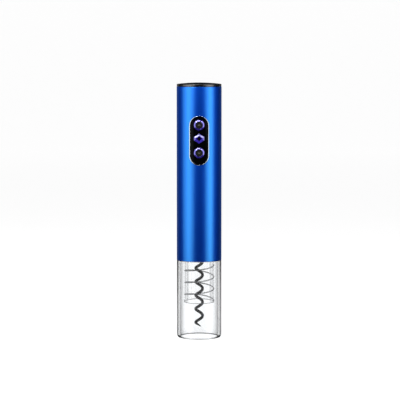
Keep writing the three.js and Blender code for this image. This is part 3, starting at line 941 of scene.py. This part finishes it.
# ---- the battery cap ----------------------------------------------------------------------------
@dataclass
class BatteryCap:
    """The black cap: a shallow dome over a polished edge, a skirt that plugs into the sleeve, and a seal."""

    steps: int = 192
    seam: float = 0.3  # between the sleeve's top and the cap's edge
    ceiling: float = 1.2  # from the sleeve's top to the dome's underside
    seam_round: float = 0.25
    edge_round: float = 0.55
    edge_drop: float = 0.05
    edge_turn: float = 62.0  # degrees
    dome_rise: float = 1.35
    dome_inset: float = 1.0
    skirt_radius: float = 21.6
    skirt_bore: float = 19.9
    mouth_bore: float = 20.3
    mouth_depth: float = 3.4
    skirt_taper: tuple[float, float] = (0.3, 0.4)
    groove_depth: float = 0.9
    groove_half: float = 0.8
    seal_radius: float = 0.45
    post_bore: float = 1.2
    post_radius: float = 1.8
    post_foot: float = 3.1
    post_head: float = 2.0

    def build(self) -> None:
        """Make the cap and its seal."""
        seal_low, seal_high = low_and_high("cap_seal")
        seal_z = (seal_low.z + seal_high.z) / 2
        self.make_shell(seal_z)
        ring = arc((seal_high.x - self.seal_radius, seal_z), self.seal_radius, 0, 337.5, 15)
        Solid.turned(ring, 128).piece("cap_o_ring", "seal_rubber", "cap", ["cap_seal"], sharp=80)

    def make_shell(self, seal_z: float) -> None:
        """Turn the cap with its skirt, and join its pivot post.

        Args:
            seal_z: The height of the seal's groove.
        """
        low, high = low_and_high("top_cap")
        radius, top = high.x, high.z
        sleeve_top = low_and_high("sleeve")[1].z
        edge, ceiling = sleeve_top + self.seam, sleeve_top + self.ceiling
        skirt, floor = self.skirt_radius, self.skirt_radius - self.groove_depth
        groove = (seal_z - self.groove_half, seal_z + self.groove_half)
        half = radius - self.dome_inset
        dome_radius = half ** 2 / (2 * self.dome_rise) + self.dome_rise / 2
        lean = math.degrees(math.asin(half / dome_radius))
        shoulder = (radius - self.edge_round, top - self.dome_rise - self.edge_round - self.edge_drop)
        profile = [(0.0, ceiling), (self.skirt_bore, ceiling), (self.skirt_bore, low.z + self.mouth_depth)]
        profile += [(self.mouth_bore, low.z), (skirt - self.skirt_taper[0], low.z)]
        profile += [(skirt, low.z + self.skirt_taper[1]), (skirt, groove[0]), (floor, groove[0])]
        profile += [(floor, groove[1]), (skirt, groove[1]), (skirt, edge), (radius - self.seam_round, edge)]
        profile += arc((radius - self.seam_round, edge + self.seam_round), self.seam_round, -90, 0, 5)
        profile += arc(shoulder, self.edge_round, 0, self.edge_turn, 8)
        profile += arc((0, top - dome_radius), dome_radius, 90 - lean, 90, 24)
        post_low, post_high = low.z + self.post_foot, top - self.post_head
        post = [(self.post_bore, post_low), (self.post_radius, post_low)]
        post += [(self.post_radius, post_high), (self.post_bore, post_high)]
        shell = Solid.turned(profile, self.steps).carve(Solid.turned(post, 32), Carve.JOIN)
        shell.piece("cap_shell", "gloss_black", "cap", ["top_cap"], sharp=32, finish=CAP_GLOSS)


# ---- the sleeve and keypad ----------------------------------------------------------------------
@dataclass
class Sleeve:
    """The anodised tube, with softened ends and a slot for the keypad."""

    steps: int = 256
    wall: float = 1.2
    lip: float = 0.35
    slot_gap: float = 0.15
    slot_cutter: tuple[float, float] = (15, 30)

    def build(self) -> None:
        """Turn the tube and cut its slot."""
        low, high = low_and_high("sleeve")
        radius, lip = high.x, self.lip
        bore = radius - self.wall
        profile = [(bore, low.z + lip), (bore + lip, low.z)]
        profile += arc((radius - lip, low.z + lip), lip, -90, 0, 5)
        profile += arc((radius - lip, high.z - lip), lip, 0, 90, 5)
        profile += [(bore + lip, high.z), (bore, high.z - lip)]
        tube = Solid.turned(profile, self.steps)
        rim_low, rim_high = low_and_high("keypad_bezel")
        width = rim_high.x - rim_low.x + 2 * self.slot_gap
        height = rim_high.z - rim_low.z + 2 * self.slot_gap
        middle = (rim_high.z + rim_low.z) / 2
        tube.carve(Solid.stadium(width, height, *self.slot_cutter, middle), Carve.CUT)
        tube.piece("sleeve_tube", "anodised_blue", "handle", ["sleeve"], sharp=30)


ARROW: Outline = ((-1.35, -0.35), (0.0, 1.0), (1.35, -0.35), (0.95, -0.75), (0.0, 0.2), (-0.95, -0.75))


@dataclass
class Button:
    """A round button: a plated ring with a dished, dark, textured middle that carries a plain arrow."""

    name: str
    points_up: bool
    steps: int = 96
    radius: float = 5.35
    ring_width: float = 1.55
    rim_round: float = 0.2
    cone_depth: float = 1.05
    cone_turn: float = 61.0  # degrees
    crest_round: float = 0.18
    dish: float = 1.75
    stem_radius: float = 1.3
    stem_bevel: float = 0.15
    flange_back: float = 19.7
    flange_thickness: float = 0.5
    disc_radius: float = 3.65
    disc_back: float = 1.6
    disc_sunk: float = 0.7
    disc_round: float = 0.25
    disc_hollow: tuple[float, float] = (0.1, 0.14)  # halfway in, and at its middle
    arrow_root: float = 0.3
    arrow_proud: float = 0.06
    arrow_round: float = 0.08

    def build(self) -> None:
        """Make the ring, the face and its arrow."""
        low, high = low_and_high(self.name)
        z = (low.z + high.z) / 2
        front, back = -low.y, -high.y
        inner = self.radius - self.ring_width
        flange, flange_front = high.z - z, self.flange_back + self.flange_thickness
        stem, bevel, crest = self.stem_radius, self.stem_bevel, self.crest_round
        profile = [(0.0, back), (stem - bevel, back), (stem, back + bevel), (stem, self.flange_back)]
        profile += [(flange, self.flange_back), (flange, flange_front), (self.radius, flange_front)]
        rim = (self.radius - self.rim_round, front - self.cone_depth)
        profile += arc(rim, self.rim_round, 0, self.cone_turn, 5)
        profile += arc((inner + crest, front - crest), crest, self.cone_turn, 180, 8)
        profile += [(inner, front - self.dish), (0.0, front - self.dish)]
        ring = Solid.turned(profile, self.steps, Side.FRONT)
        ring.transform(Matrix.Translation((0, 0, z)))
        ring.piece(f"{self.name}_ring", "violet_chrome", self.name, [self.name], sharp=50)
        self.make_face(z, front)

    def make_face(self, z: float, front: float) -> None:
        """Make the dark middle and the arrow on it.

        Args:
            z: The height of the button's centre.
            front: How far its ring stands in front of the body's axis.
        """
        radius, back, top = self.disc_radius, front - self.disc_back, front - self.disc_sunk
        rim, (halfway, centre) = self.disc_round, self.disc_hollow
        profile = [(0.0, back), (radius, back), (radius, top - rim)]
        profile += arc((radius - rim, top - rim), rim, 0, 90, 4)
        profile += [(radius * 0.5, top - halfway), (0.0, top - centre)]
        disc = Solid.turned(profile, 64, Side.FRONT).transform(Matrix.Translation((0, 0, z)))
        disc.piece(f"{self.name}_disc", "button_olive", self.name, [f"{self.name}_face"], sharp=50)
        turn = 1 if self.points_up else -1
        corners = [(x, z + turn * height) for x, height in ARROW]
        arrow = Solid.plate(corners, top - self.arrow_root, top + self.arrow_proud)
        arrow.soften(self.arrow_round, segments=2, angle=30)
        arrow.piece(f"{self.name}_arrow", "button_olive", self.name, finish=ARROW_INK)


@dataclass
class Keypad:
    """The keypad: a bent black panel in a bright cut rim, with two buttons and a six-sided lamp."""

    spacing: float = 0.6
    cutter: tuple[float, float] = (10, 30)
    skin: float = 0.01  # edges within this of a plate's front are its front edges
    rim_width: float = 0.75
    rim_proud: float = 0.18
    rim_thickness: float = 1.6
    rim_round: float = 0.22
    seam: float = 0.12
    panel_sunk: float = 0.4
    panel_thickness: float = 1.4
    panel_round: float = 0.3
    panel_curve: float = 32.0
    button_hole: float = 5.5
    lamp_gap: float = 0.15
    lamp_shoulder: float = 0.35  # of the lamp's half height
    facet_width: float = 1.75
    facet_depth: float = 0.95
    facet_round: float = 0.06
    facet_skin: float = 0.1  # edges within this of the facets' foot are rounded with them
    star_reach: float = 3.15
    star_waist: float = 1.2
    star_root: float = 0.4
    star_proud: float = 0.05

    def build(self) -> None:
        """Make the rim, the panel, the lamp and the buttons."""
        low, high = low_and_high("keypad_bezel")
        radius = low_and_high("sleeve")[1].x
        width, height, z = high.x - low.x, high.z - low.z, (high.z + low.z) / 2
        self.make_rim(width, height, z, radius + self.rim_proud)
        self.make_panel(width, height, z, radius - self.panel_sunk)
        self.make_lamp()
        Button("up_button", True).build()
        Button("down_button", False).build()

    def make_rim(self, width: float, height: float, z: float, front: float) -> None:
        """Make the bright rim round the panel.

        Args:
            width: The rim's width, outside.
            height: Its height, outside.
            z: The height of its middle.
            front: How far its front is from the body's axis.
        """
        less = 2 * self.rim_width
        rim = Solid.stadium(width, height, front - self.rim_thickness, front, z)
        rim.carve(Solid.stadium(width - less, height - less, *self.cutter, z), Carve.CUT)
        rim.soften(self.rim_round, segments=3, angle=60, where=ahead_of(front - self.skin))
        rim.slice_across(self.spacing, width / 2).bend_round(front)
        rim.piece("keypad_rim", "bright_rim", "handle", ["keypad_bezel"], sharp=35)

    def make_panel(self, width: float, height: float, z: float, front: float) -> None:
        """Make the black panel, with holes for the buttons and the lamp.

        Args:
            width: The rim's width, outside.
            height: Its height, outside.
            z: The height of its middle.
            front: How far the panel's front is from the body's axis.
        """
        less = 2 * (self.rim_width + self.seam)
        panel = Solid.stadium(width - less, height - less, front - self.panel_thickness, front, z)
        back, ahead = self.cutter
        for name in ("up_button", "down_button"):
            low, high = low_and_high(name)
            profile = [(0, back), (self.button_hole, back), (self.button_hole, ahead), (0, ahead)]
            hole = Solid.turned(profile, 96, Side.FRONT)
            hole.transform(Matrix.Translation((0, 0, (low.z + high.z) / 2)))
            panel.carve(hole, Carve.CUT)
        panel.carve(Solid.plate(self.hexagon(self.lamp_gap), back, ahead), Carve.CUT)
        panel.soften(self.panel_round, segments=3, angle=60, where=ahead_of(front - self.skin))
        panel.slice_across(self.spacing, width / 2).bend_round(self.panel_curve)
        panel.piece("keypad_plate", "gloss_black", "handle", ["keypad_panel"], sharp=35)

    def hexagon(self, gap: float) -> list[tuple[float, float]]:
        """Give the lamp's outline, with points up and down.

        Args:
            gap: How far it is let out.

        Returns:
            Its six corners.
        """
        low, high = low_and_high("lamp_lens")
        z, w, h = (high.z + low.z) / 2, (high.x - low.x) / 2, (high.z - low.z) / 2
        shoulder = self.lamp_shoulder * h
        slope = (h - shoulder) / w
        rise = gap * math.hypot(1, slope)
        w, h, shoulder = w + gap, h + rise, shoulder + rise - gap * slope
        left = [(0, z + h), (-w, z + shoulder), (-w, z - shoulder)]
        return left + [(0, z - h), (w, z - shoulder), (w, z + shoulder)]

    def make_lamp(self) -> None:
        """Make the lamp's faceted lens and the dark star in it."""
        low, high = low_and_high("lamp_lens")
        front, facet_foot = -low.y, -low.y - self.facet_depth
        lens = Solid.plate(self.hexagon(0.0), -high.y, facet_foot)
        lens.raise_front(self.facet_width, self.facet_depth)
        lens.soften(self.facet_round, segments=2, angle=20, where=ahead_of(facet_foot - self.facet_skin))
        lens.piece("lamp_gem", "violet_lens", "handle", ["lamp_lens"], sharp=20)
        z = (low.z + high.z) / 2
        lengths = (self.star_reach, self.star_waist * math.sqrt(2))
        star = []
        for number in range(8):
            angle, length = FULL_TURN / 8 * number, lengths[number % 2]
            star.append((length * math.sin(angle), z + length * math.cos(angle)))
        mark = Solid.plate(star, front - self.star_root, front + self.star_proud)
        mark.soften(self.facet_round, segments=2, angle=30)
        mark.piece("lamp_star", "gloss_black", "handle")


# ---- the clear end ------------------------------------------------------------------------------
@dataclass
class ClearHousing:
    """The clear outer tube that slides over the bottle's neck, with a rounded rim, and a grey ring under the
    rim that is painted contact shadow.
    """

    steps: int = 192
    bore: float = 20.0
    fillet: float = 2.2
    mouth_round: float = 0.5
    rim_height: float = 1.6
    seam: float = 0.3
    spigot: float = 21.75
    shadow_ring_radii: tuple[float, float] = (21.4, 22.4)
    shadow_ring_heights: tuple[float, float] = (0.01, 0.25)

    def build(self) -> None:
        """Turn the housing, and the grey ring of painted contact shadow under it."""
        high = low_and_high("clear_housing")[1]
        ledge = low_and_high("sleeve")[0].z - self.seam
        radius, mouth = high.x, self.mouth_round
        profile = [(self.bore + mouth, 0.0)]
        profile += arc((radius - self.fillet, self.fillet), self.fillet, -90, 0, 12)
        profile += arc((radius - self.seam, ledge - self.seam), self.seam, 0, 90, 4)
        profile += [(self.spigot, ledge), (self.spigot, high.z), (self.bore, high.z)]
        profile += [(self.bore, self.rim_height)] + arc((self.bore + mouth, mouth), mouth, 180, 262, 5)
        shell = Solid.turned(profile, self.steps)
        shell.piece("housing_shell", "clear_polycarbonate", "handle", ["clear_housing"], sharp=35)
        # Painted shade: a thin grey ring under the rim stands in for the contact shadow along its bottom
        # edge.
        (inner, outer), (bottom, top) = self.shadow_ring_radii, self.shadow_ring_heights
        foot = Solid.turned([(inner, bottom), (outer, bottom), (outer, top), (inner, top)], self.steps)
        foot.piece("housing_contact_shadow", "clear_polycarbonate", "handle", finish=CONTACT_SHADOW_RING)


@dataclass
class CorkGuide:
    """The clear inner tube: ribs keep the cork from turning, a spiral stiffens it, a ring stops the lip."""

    steps: int = 128
    bore: float = 12.85
    radius: float = 15.3
    mouth_bevel: tuple[float, float] = (0.3, 0.4)
    ring_height: float = 1.8
    ring_proud: float = 0.7
    ring_round: float = 0.3
    flange_thickness: float = 2.0
    spiral_pitch: float = 12.25
    spiral_low: float = 37.875
    spiral_turns: float = 3.0
    spiral_radius: float = 0.65
    spiral_sunk: float = 0.02
    spiral_steps: int = 216
    lip_radius: float = 0.3
    lip_offset: tuple[float, float] = (0.38, 0.32)
    rib_count: int = 4
    rib_half: float = 0.6
    rib_reach: tuple[float, float] = (12.1, 13.4)
    rib_ends: tuple[float, float] = (2, 4)
    rib_round: float = 0.25
    rib_skin: float = 0.1  # edges within this of a rib's crest are rounded

    def build(self) -> None:
        """Make the spiral, the lip and the tube with its ribs."""
        low, high = low_and_high("cork_guide")
        climb = (self.spiral_pitch, self.spiral_low, self.spiral_turns)
        coil = helix(self.radius - self.spiral_sunk, *climb, 0.0, self.spiral_steps)
        spiral = Solid.swept(coil, self.spiral_radius, 12, lambda share: 1.0)
        spiral.piece("guide_spiral", "clear_polycarbonate", "handle", finish=GUIDE_RIB)
        out, up = self.lip_offset
        lip = Solid.turned(arc((self.radius + out, low.z + up), self.lip_radius, 0, 345, 23), self.steps)
        lip.piece("guide_lip", "clear_polycarbonate", "handle", finish=GUIDE_RIB)
        self.make_tube(low.z, high.z, high.x)

    def make_tube(self, bottom: float, top: float, flange: float) -> None:
        """Turn the tube and join its ribs.

        Args:
            bottom: The height of its mouth.
            top: The height of its flange's top.
            flange: The flange's radius.
        """
        ledge, seat = bottom + self.ring_height, top - self.flange_thickness
        ring, turn = self.radius + self.ring_proud, self.ring_round
        profile = [(self.bore + self.mouth_bevel[0], bottom)]
        profile += arc((ring - turn, bottom + turn), turn, -90, 0, 4)
        profile += [(ring, ledge - turn), (ring - turn, ledge), (self.radius, ledge + turn)]
        profile += [(self.radius, seat), (flange, seat), (flange, top), (self.bore, top)]
        profile += [(self.bore, bottom + self.mouth_bevel[1])]
        tube = Solid.turned(profile, self.steps)
        half, foot, head = self.rib_half, ledge + self.rib_ends[0], top - self.rib_ends[1]
        crest = self.rib_reach[0] + self.rib_skin
        for number in range(self.rib_count):
            rib = Solid.plate([(-half, foot), (half, foot), (half, head), (-half, head)], *self.rib_reach)
            rib.soften(self.rib_round, segments=3, angle=60, where=lambda at: at.y > -crest)
            angle = FULL_TURN * (number + 0.5) / self.rib_count
            rib.transform(Matrix.Rotation(angle, 4, "Z"))
            tube.carve(rib, Carve.JOIN)
        nodes = ["cork_guide"]
        tube.piece("guide_tube", "clear_polycarbonate", "handle", nodes, sharp=35, finish=GUIDE_WALL)


@dataclass
class Worm:
    """The corkscrew's worm: one right-handed coil of coated wire, ground to a point, on a shank."""

    pitch: float = 14.0
    mean_radius: float = 3.55
    wire: float = 1.5  # the wire's radius
    tip: float = 10.0
    crest: float = 77.8  # a height where the coil is at its furthest right
    steps_per_turn: int = 56
    point_length: float = 9.0
    point_share: float = 0.08  # of the wire's thickness that is left at the tip
    point_curve: float = 0.6
    collar: tuple[float, float] = (79.8, 84.6)
    collar_round: float = 0.6
    coil_end: float = 1.8  # how far the coil goes up into the collar
    shank_radius: float = 4.0
    shank_top: float = 90.9
    clip_groove: tuple[float, float] = (89.7, 90.5)
    groove_radius: float = 3.3
    drive_radius: float = 2.9
    drive_bevel: float = 0.3

    def build(self) -> None:
        """Draw the wire, grind its point and join its shank."""
        turns = (self.collar[0] + self.coil_end - self.tip) / self.pitch
        start = FULL_TURN * (self.tip - self.crest) / self.pitch
        steps = round(turns * self.steps_per_turn)
        path = helix(self.mean_radius, self.pitch, self.tip, turns, start, steps)
        length = turns * math.hypot(self.pitch, FULL_TURN * self.mean_radius)
        coil = Solid.swept(path, self.wire, 20, lambda share: self.thickness(share * length))
        coil.carve(self.shank(), Carve.JOIN)
        coil.piece("worm_coil", "coated_worm", "worm", ["worm"], sharp=45)

    def thickness(self, along: float) -> float:
        """Give how much of the wire's thickness is left at a distance along it from the tip."""
        ground = min(1.0, along / self.point_length)
        return self.point_share + (1 - self.point_share) * ground ** self.point_curve

    def shank(self) -> Solid:
        """Turn the shank.

        Returns:
            The collar, the groove for the clip and the end that the carrier drives.
        """
        high = low_and_high("worm")[1]
        radius, turn, shank = high.x, self.collar_round, self.shank_radius
        (bottom, top), (groove_low, groove_high) = self.collar, self.clip_groove
        profile = [(0.0, bottom)] + arc((radius - turn, bottom + turn), turn, -90, 0, 4)
        profile += [(radius, top), (shank, top), (shank, groove_low), (self.groove_radius, groove_low)]
        profile += [(self.groove_radius, groove_high), (shank, groove_high), (shank, self.shank_top)]
        profile += [(self.drive_radius, self.shank_top), (self.drive_radius, high.z - self.drive_bevel)]
        profile += [(self.drive_radius - self.drive_bevel, high.z), (0.0, high.z)]
        return Solid.turned(profile, 64)


# ---- the pieces that keep their CAD shape -------------------------------------------------------
class CarriedOver:
    """CAD pieces whose shape is right, which only need their finish."""

    def build(self) -> None:
        """Give every CAD node the finish of its slot."""
        for row in frame["record"]["subparts"]:
            node = frame["nodes"][row["node"]]
            node.data.materials.clear()
            node.data.materials.append(PAINTS[row["material_slot"]].build())


# ---- studio -------------------------------------------------------------------------------------
@dataclass(frozen=True)
class DullCard(Finish):
    """Card with no gloss at all."""

    def dress(self, draft: Draft) -> None:
        """Take its gloss away."""
        draft.set({"Specular IOR Level": 0.0})


@dataclass(frozen=True)
class GlowingPaper(Finish):
    """Matt paper that glows white, and less of it in front of the opener, where it would veil the worm.

    It is clear from underneath, so that it doesn't hide the opener's underside. Distances are in metres.
    """

    glow: float = 0.79
    glow_left: float = 0.35
    full_to: float = -0.38
    left_from: float = -1.0

    def dress(self, draft: Draft) -> None:
        """Light the paper, and clear its underside.

        Args:
            draft: Its material.
        """
        draft.shader.inputs["Emission Color"].default_value = linear("ffffff")
        draft.set({"Specular IOR Level": 0.0})
        across = add_node(draft.tree, "ShaderNodeSeparateXYZ", {}, {"Vector": draft.place})
        settings = {"From Min": self.left_from, "From Max": self.full_to}
        settings |= {"To Min": self.glow * self.glow_left, "To Max": self.glow}
        settings["interpolation_type"] = "SMOOTHSTEP"
        fall = add_node(draft.tree, "ShaderNodeMapRange", settings, {"Value": across.outputs["Y"]})
        draft.tree.links.new(fall.outputs["Result"], draft.shader.inputs["Emission Strength"])
        underneath = add_node(draft.tree, "ShaderNodeNewGeometry").outputs["Backfacing"]
        clear = add_node(draft.tree, "ShaderNodeBsdfTransparent").outputs["BSDF"]
        links = {AMOUNT: underneath, FIRST_SHADER: draft.surface, SECOND_SHADER: clear}
        draft.surface = add_node(draft.tree, "ShaderNodeMixShader", {}, links).outputs["Shader"]


PALE_PAPER = GlowingPaper("pale paper", "9a9a9a", 0.9)
DARK_CARD = DullCard("dark card", "101010", 0.9)


@dataclass(frozen=True)
class Panel:
    """A flat lamp or card that stands round the opener, facing its axis. Its sizes are in metres."""

    name: str
    bearing: float
    distance: float
    height: float
    size: tuple[float, float]
    power: float = 0.0

    def place(self) -> Vector:
        """Give its middle. A bearing of 0 is in front, and 90 is to the right."""
        angle = math.radians(self.bearing)
        return Vector((self.distance * math.sin(angle), -self.distance * math.cos(angle), self.height))

    def facing(self, aim: float) -> Matrix:
        """Give the matrix that stands it in its place, facing a height on the axis, with its width level."""
        away = self.place() - Vector((0, 0, aim))
        return Matrix.Translation(self.place()) @ away.to_track_quat("Z", "Y").to_matrix().to_4x4()


@dataclass
class Studio:
    """A pale floor and backdrop, soft lamps, dark cards behind that darken the clear edges, and the camera.

    The strips lay the long highlights on the sleeve, and a core in each gives it a bright middle. The
    sparks and the top lamp light the lens's facets and the tops of the rings. Its sizes are in metres.
    """

    floor_radius: float = 4.0
    floor_curve: float = 1.0
    wall_height: float = 4.0
    aim: float = 0.15
    lamps: tuple[Panel, ...] = (
        Panel("left_strip", -58, 1.1, 0.35, (1.4, 1.5), 6.0),
        Panel("left_core", -55, 1.05, 0.35, (0.5, 1.5), 1.9),
        Panel("right_strip", 56, 1.1, 0.35, (1.0, 1.5), 4.6),
        Panel("right_core", 58, 1.05, 0.35, (0.4, 1.5), 1.9),
        Panel("left_rear", -144, 1.1, 0.35, (0.4, 1.5), 0.4),
        Panel("right_rear", 144, 1.1, 0.35, (0.4, 1.5), 0.3),
        Panel("left_spark", -39, 0.9, 0.98, (0.5, 0.25), 4.6),
        Panel("right_spark", 39, 0.9, 0.98, (0.4, 0.25), 2.0),
        Panel("front_top", -14, 0.75, 1.5, (1.0, 0.2), 5.4),
    )
    cards: tuple[Panel, ...] = (
        Panel("left_card", -136, 0.9, 0.3, (0.95, 1.2)),
        Panel("right_card", 136, 0.9, 0.3, (0.95, 1.2)),
    )
    surroundings: str = "a4acc4"
    surroundings_power: float = 0.03
    camera_place: tuple[float, float, float] = (0.0009, -1.767, 0.307)
    camera_pitch: float = 5.3  # degrees
    camera_lens: float = 153.6  # millimetres

    def build(self) -> None:
        """Make the paper, the surroundings, the lamps, the cards and the camera."""
        self.make_paper()
        self.make_surroundings()
        for lamp in self.lamps:
            self.make_lamp(lamp)
        for card in self.cards:
            self.make_card(card)
        self.make_camera()

    def make_paper(self) -> None:
        """Make a round floor that curves up into a wall. Gloss doesn't mirror it, so edges stay dark."""
        bend = (self.floor_radius - self.floor_curve, self.floor_curve)
        profile = [(0.0, 0.0)] + arc(bend, self.floor_curve, -90, 0, 10)
        mesh = Solid.turned(profile + [(self.floor_radius, self.wall_height)], 96).mesh
        bmesh.ops.reverse_faces(mesh, faces=mesh.faces[:])
        self.stand("paper", mesh, PALE_PAPER).visible_glossy = False

    def make_surroundings(self) -> None:
        """Make the dim surroundings that the metal mirrors between the lamps."""
        world = bpy.data.worlds.new("studio")
        bpy.context.scene.world = world
        world.use_nodes = True
        background = world.node_tree.nodes["Background"]
        background.inputs["Color"].default_value = linear(self.surroundings)
        background.inputs["Strength"].default_value = self.surroundings_power

    def make_lamp(self, lamp: Panel) -> None:
        """Make a soft lamp that the camera doesn't see.

        Args:
            lamp: The lamp.
        """
        data = bpy.data.lights.new(lamp.name, "AREA")
        data.shape = "RECTANGLE"
        data.size, data.size_y = lamp.size
        data.energy = lamp.power
        thing = bpy.data.objects.new(lamp.name, data)
        bpy.context.scene.collection.objects.link(thing)
        thing.matrix_world = lamp.facing(self.aim)
        thing.visible_camera = False

    def make_card(self, card: Panel) -> None:
        """Make a dark card that is seen only through the clear parts.

        Args:
            card: The card.
        """
        mesh = bmesh.new()
        bmesh.ops.create_grid(mesh, x_segments=1, y_segments=1, size=0.5)
        bmesh.ops.scale(mesh, vec=(*card.size, 1.0), verts=mesh.verts[:])
        bmesh.ops.transform(mesh, matrix=card.facing(self.aim), verts=mesh.verts[:])
        thing = self.stand(card.name, mesh, DARK_CARD)
        thing.visible_camera = thing.visible_diffuse = thing.visible_glossy = False
        thing.visible_shadow = False

    def stand(self, name: str, mesh: bmesh.types.BMesh, finish: Finish) -> bpy.types.Object:
        """Add a piece of the studio.

        Args:
            name: Its name.
            mesh: Its mesh, in metres, which is used up.
            finish: Its finish.

        Returns:
            The object.
        """
        data = bpy.data.meshes.new(name)
        mesh.to_mesh(data)
        mesh.free()
        data.shade_smooth()
        data.materials.append(finish.build())
        thing = bpy.data.objects.new(name, data)
        bpy.context.scene.collection.objects.link(thing)
        return thing

    def make_camera(self) -> None:
        """Stand the camera in front, a little above the opener and looking slightly down."""
        data = bpy.data.cameras.new("camera")
        data.lens = self.camera_lens
        camera = bpy.data.objects.new("camera", data)
        bpy.context.scene.collection.objects.link(camera)
        camera.location = self.camera_place
        camera.rotation_euler = (math.radians(90 - self.camera_pitch), 0, 0)
        bpy.context.scene.camera = camera
        bpy.context.scene.view_settings.view_transform = "Standard"


def main() -> None:
    """Build the opener and the studio, and log each assembly and each new piece's face count."""
    Studio().build()
    CarriedOver().build()
    for assembly in (BatteryCap(), Sleeve(), Keypad(), ClearHousing(), CorkGuide(), Worm()):
        log.info("building %s", type(assembly).__name__)
        assembly.build()
    bpy.context.view_layer.update()


if __name__ == "__main__":
    main()
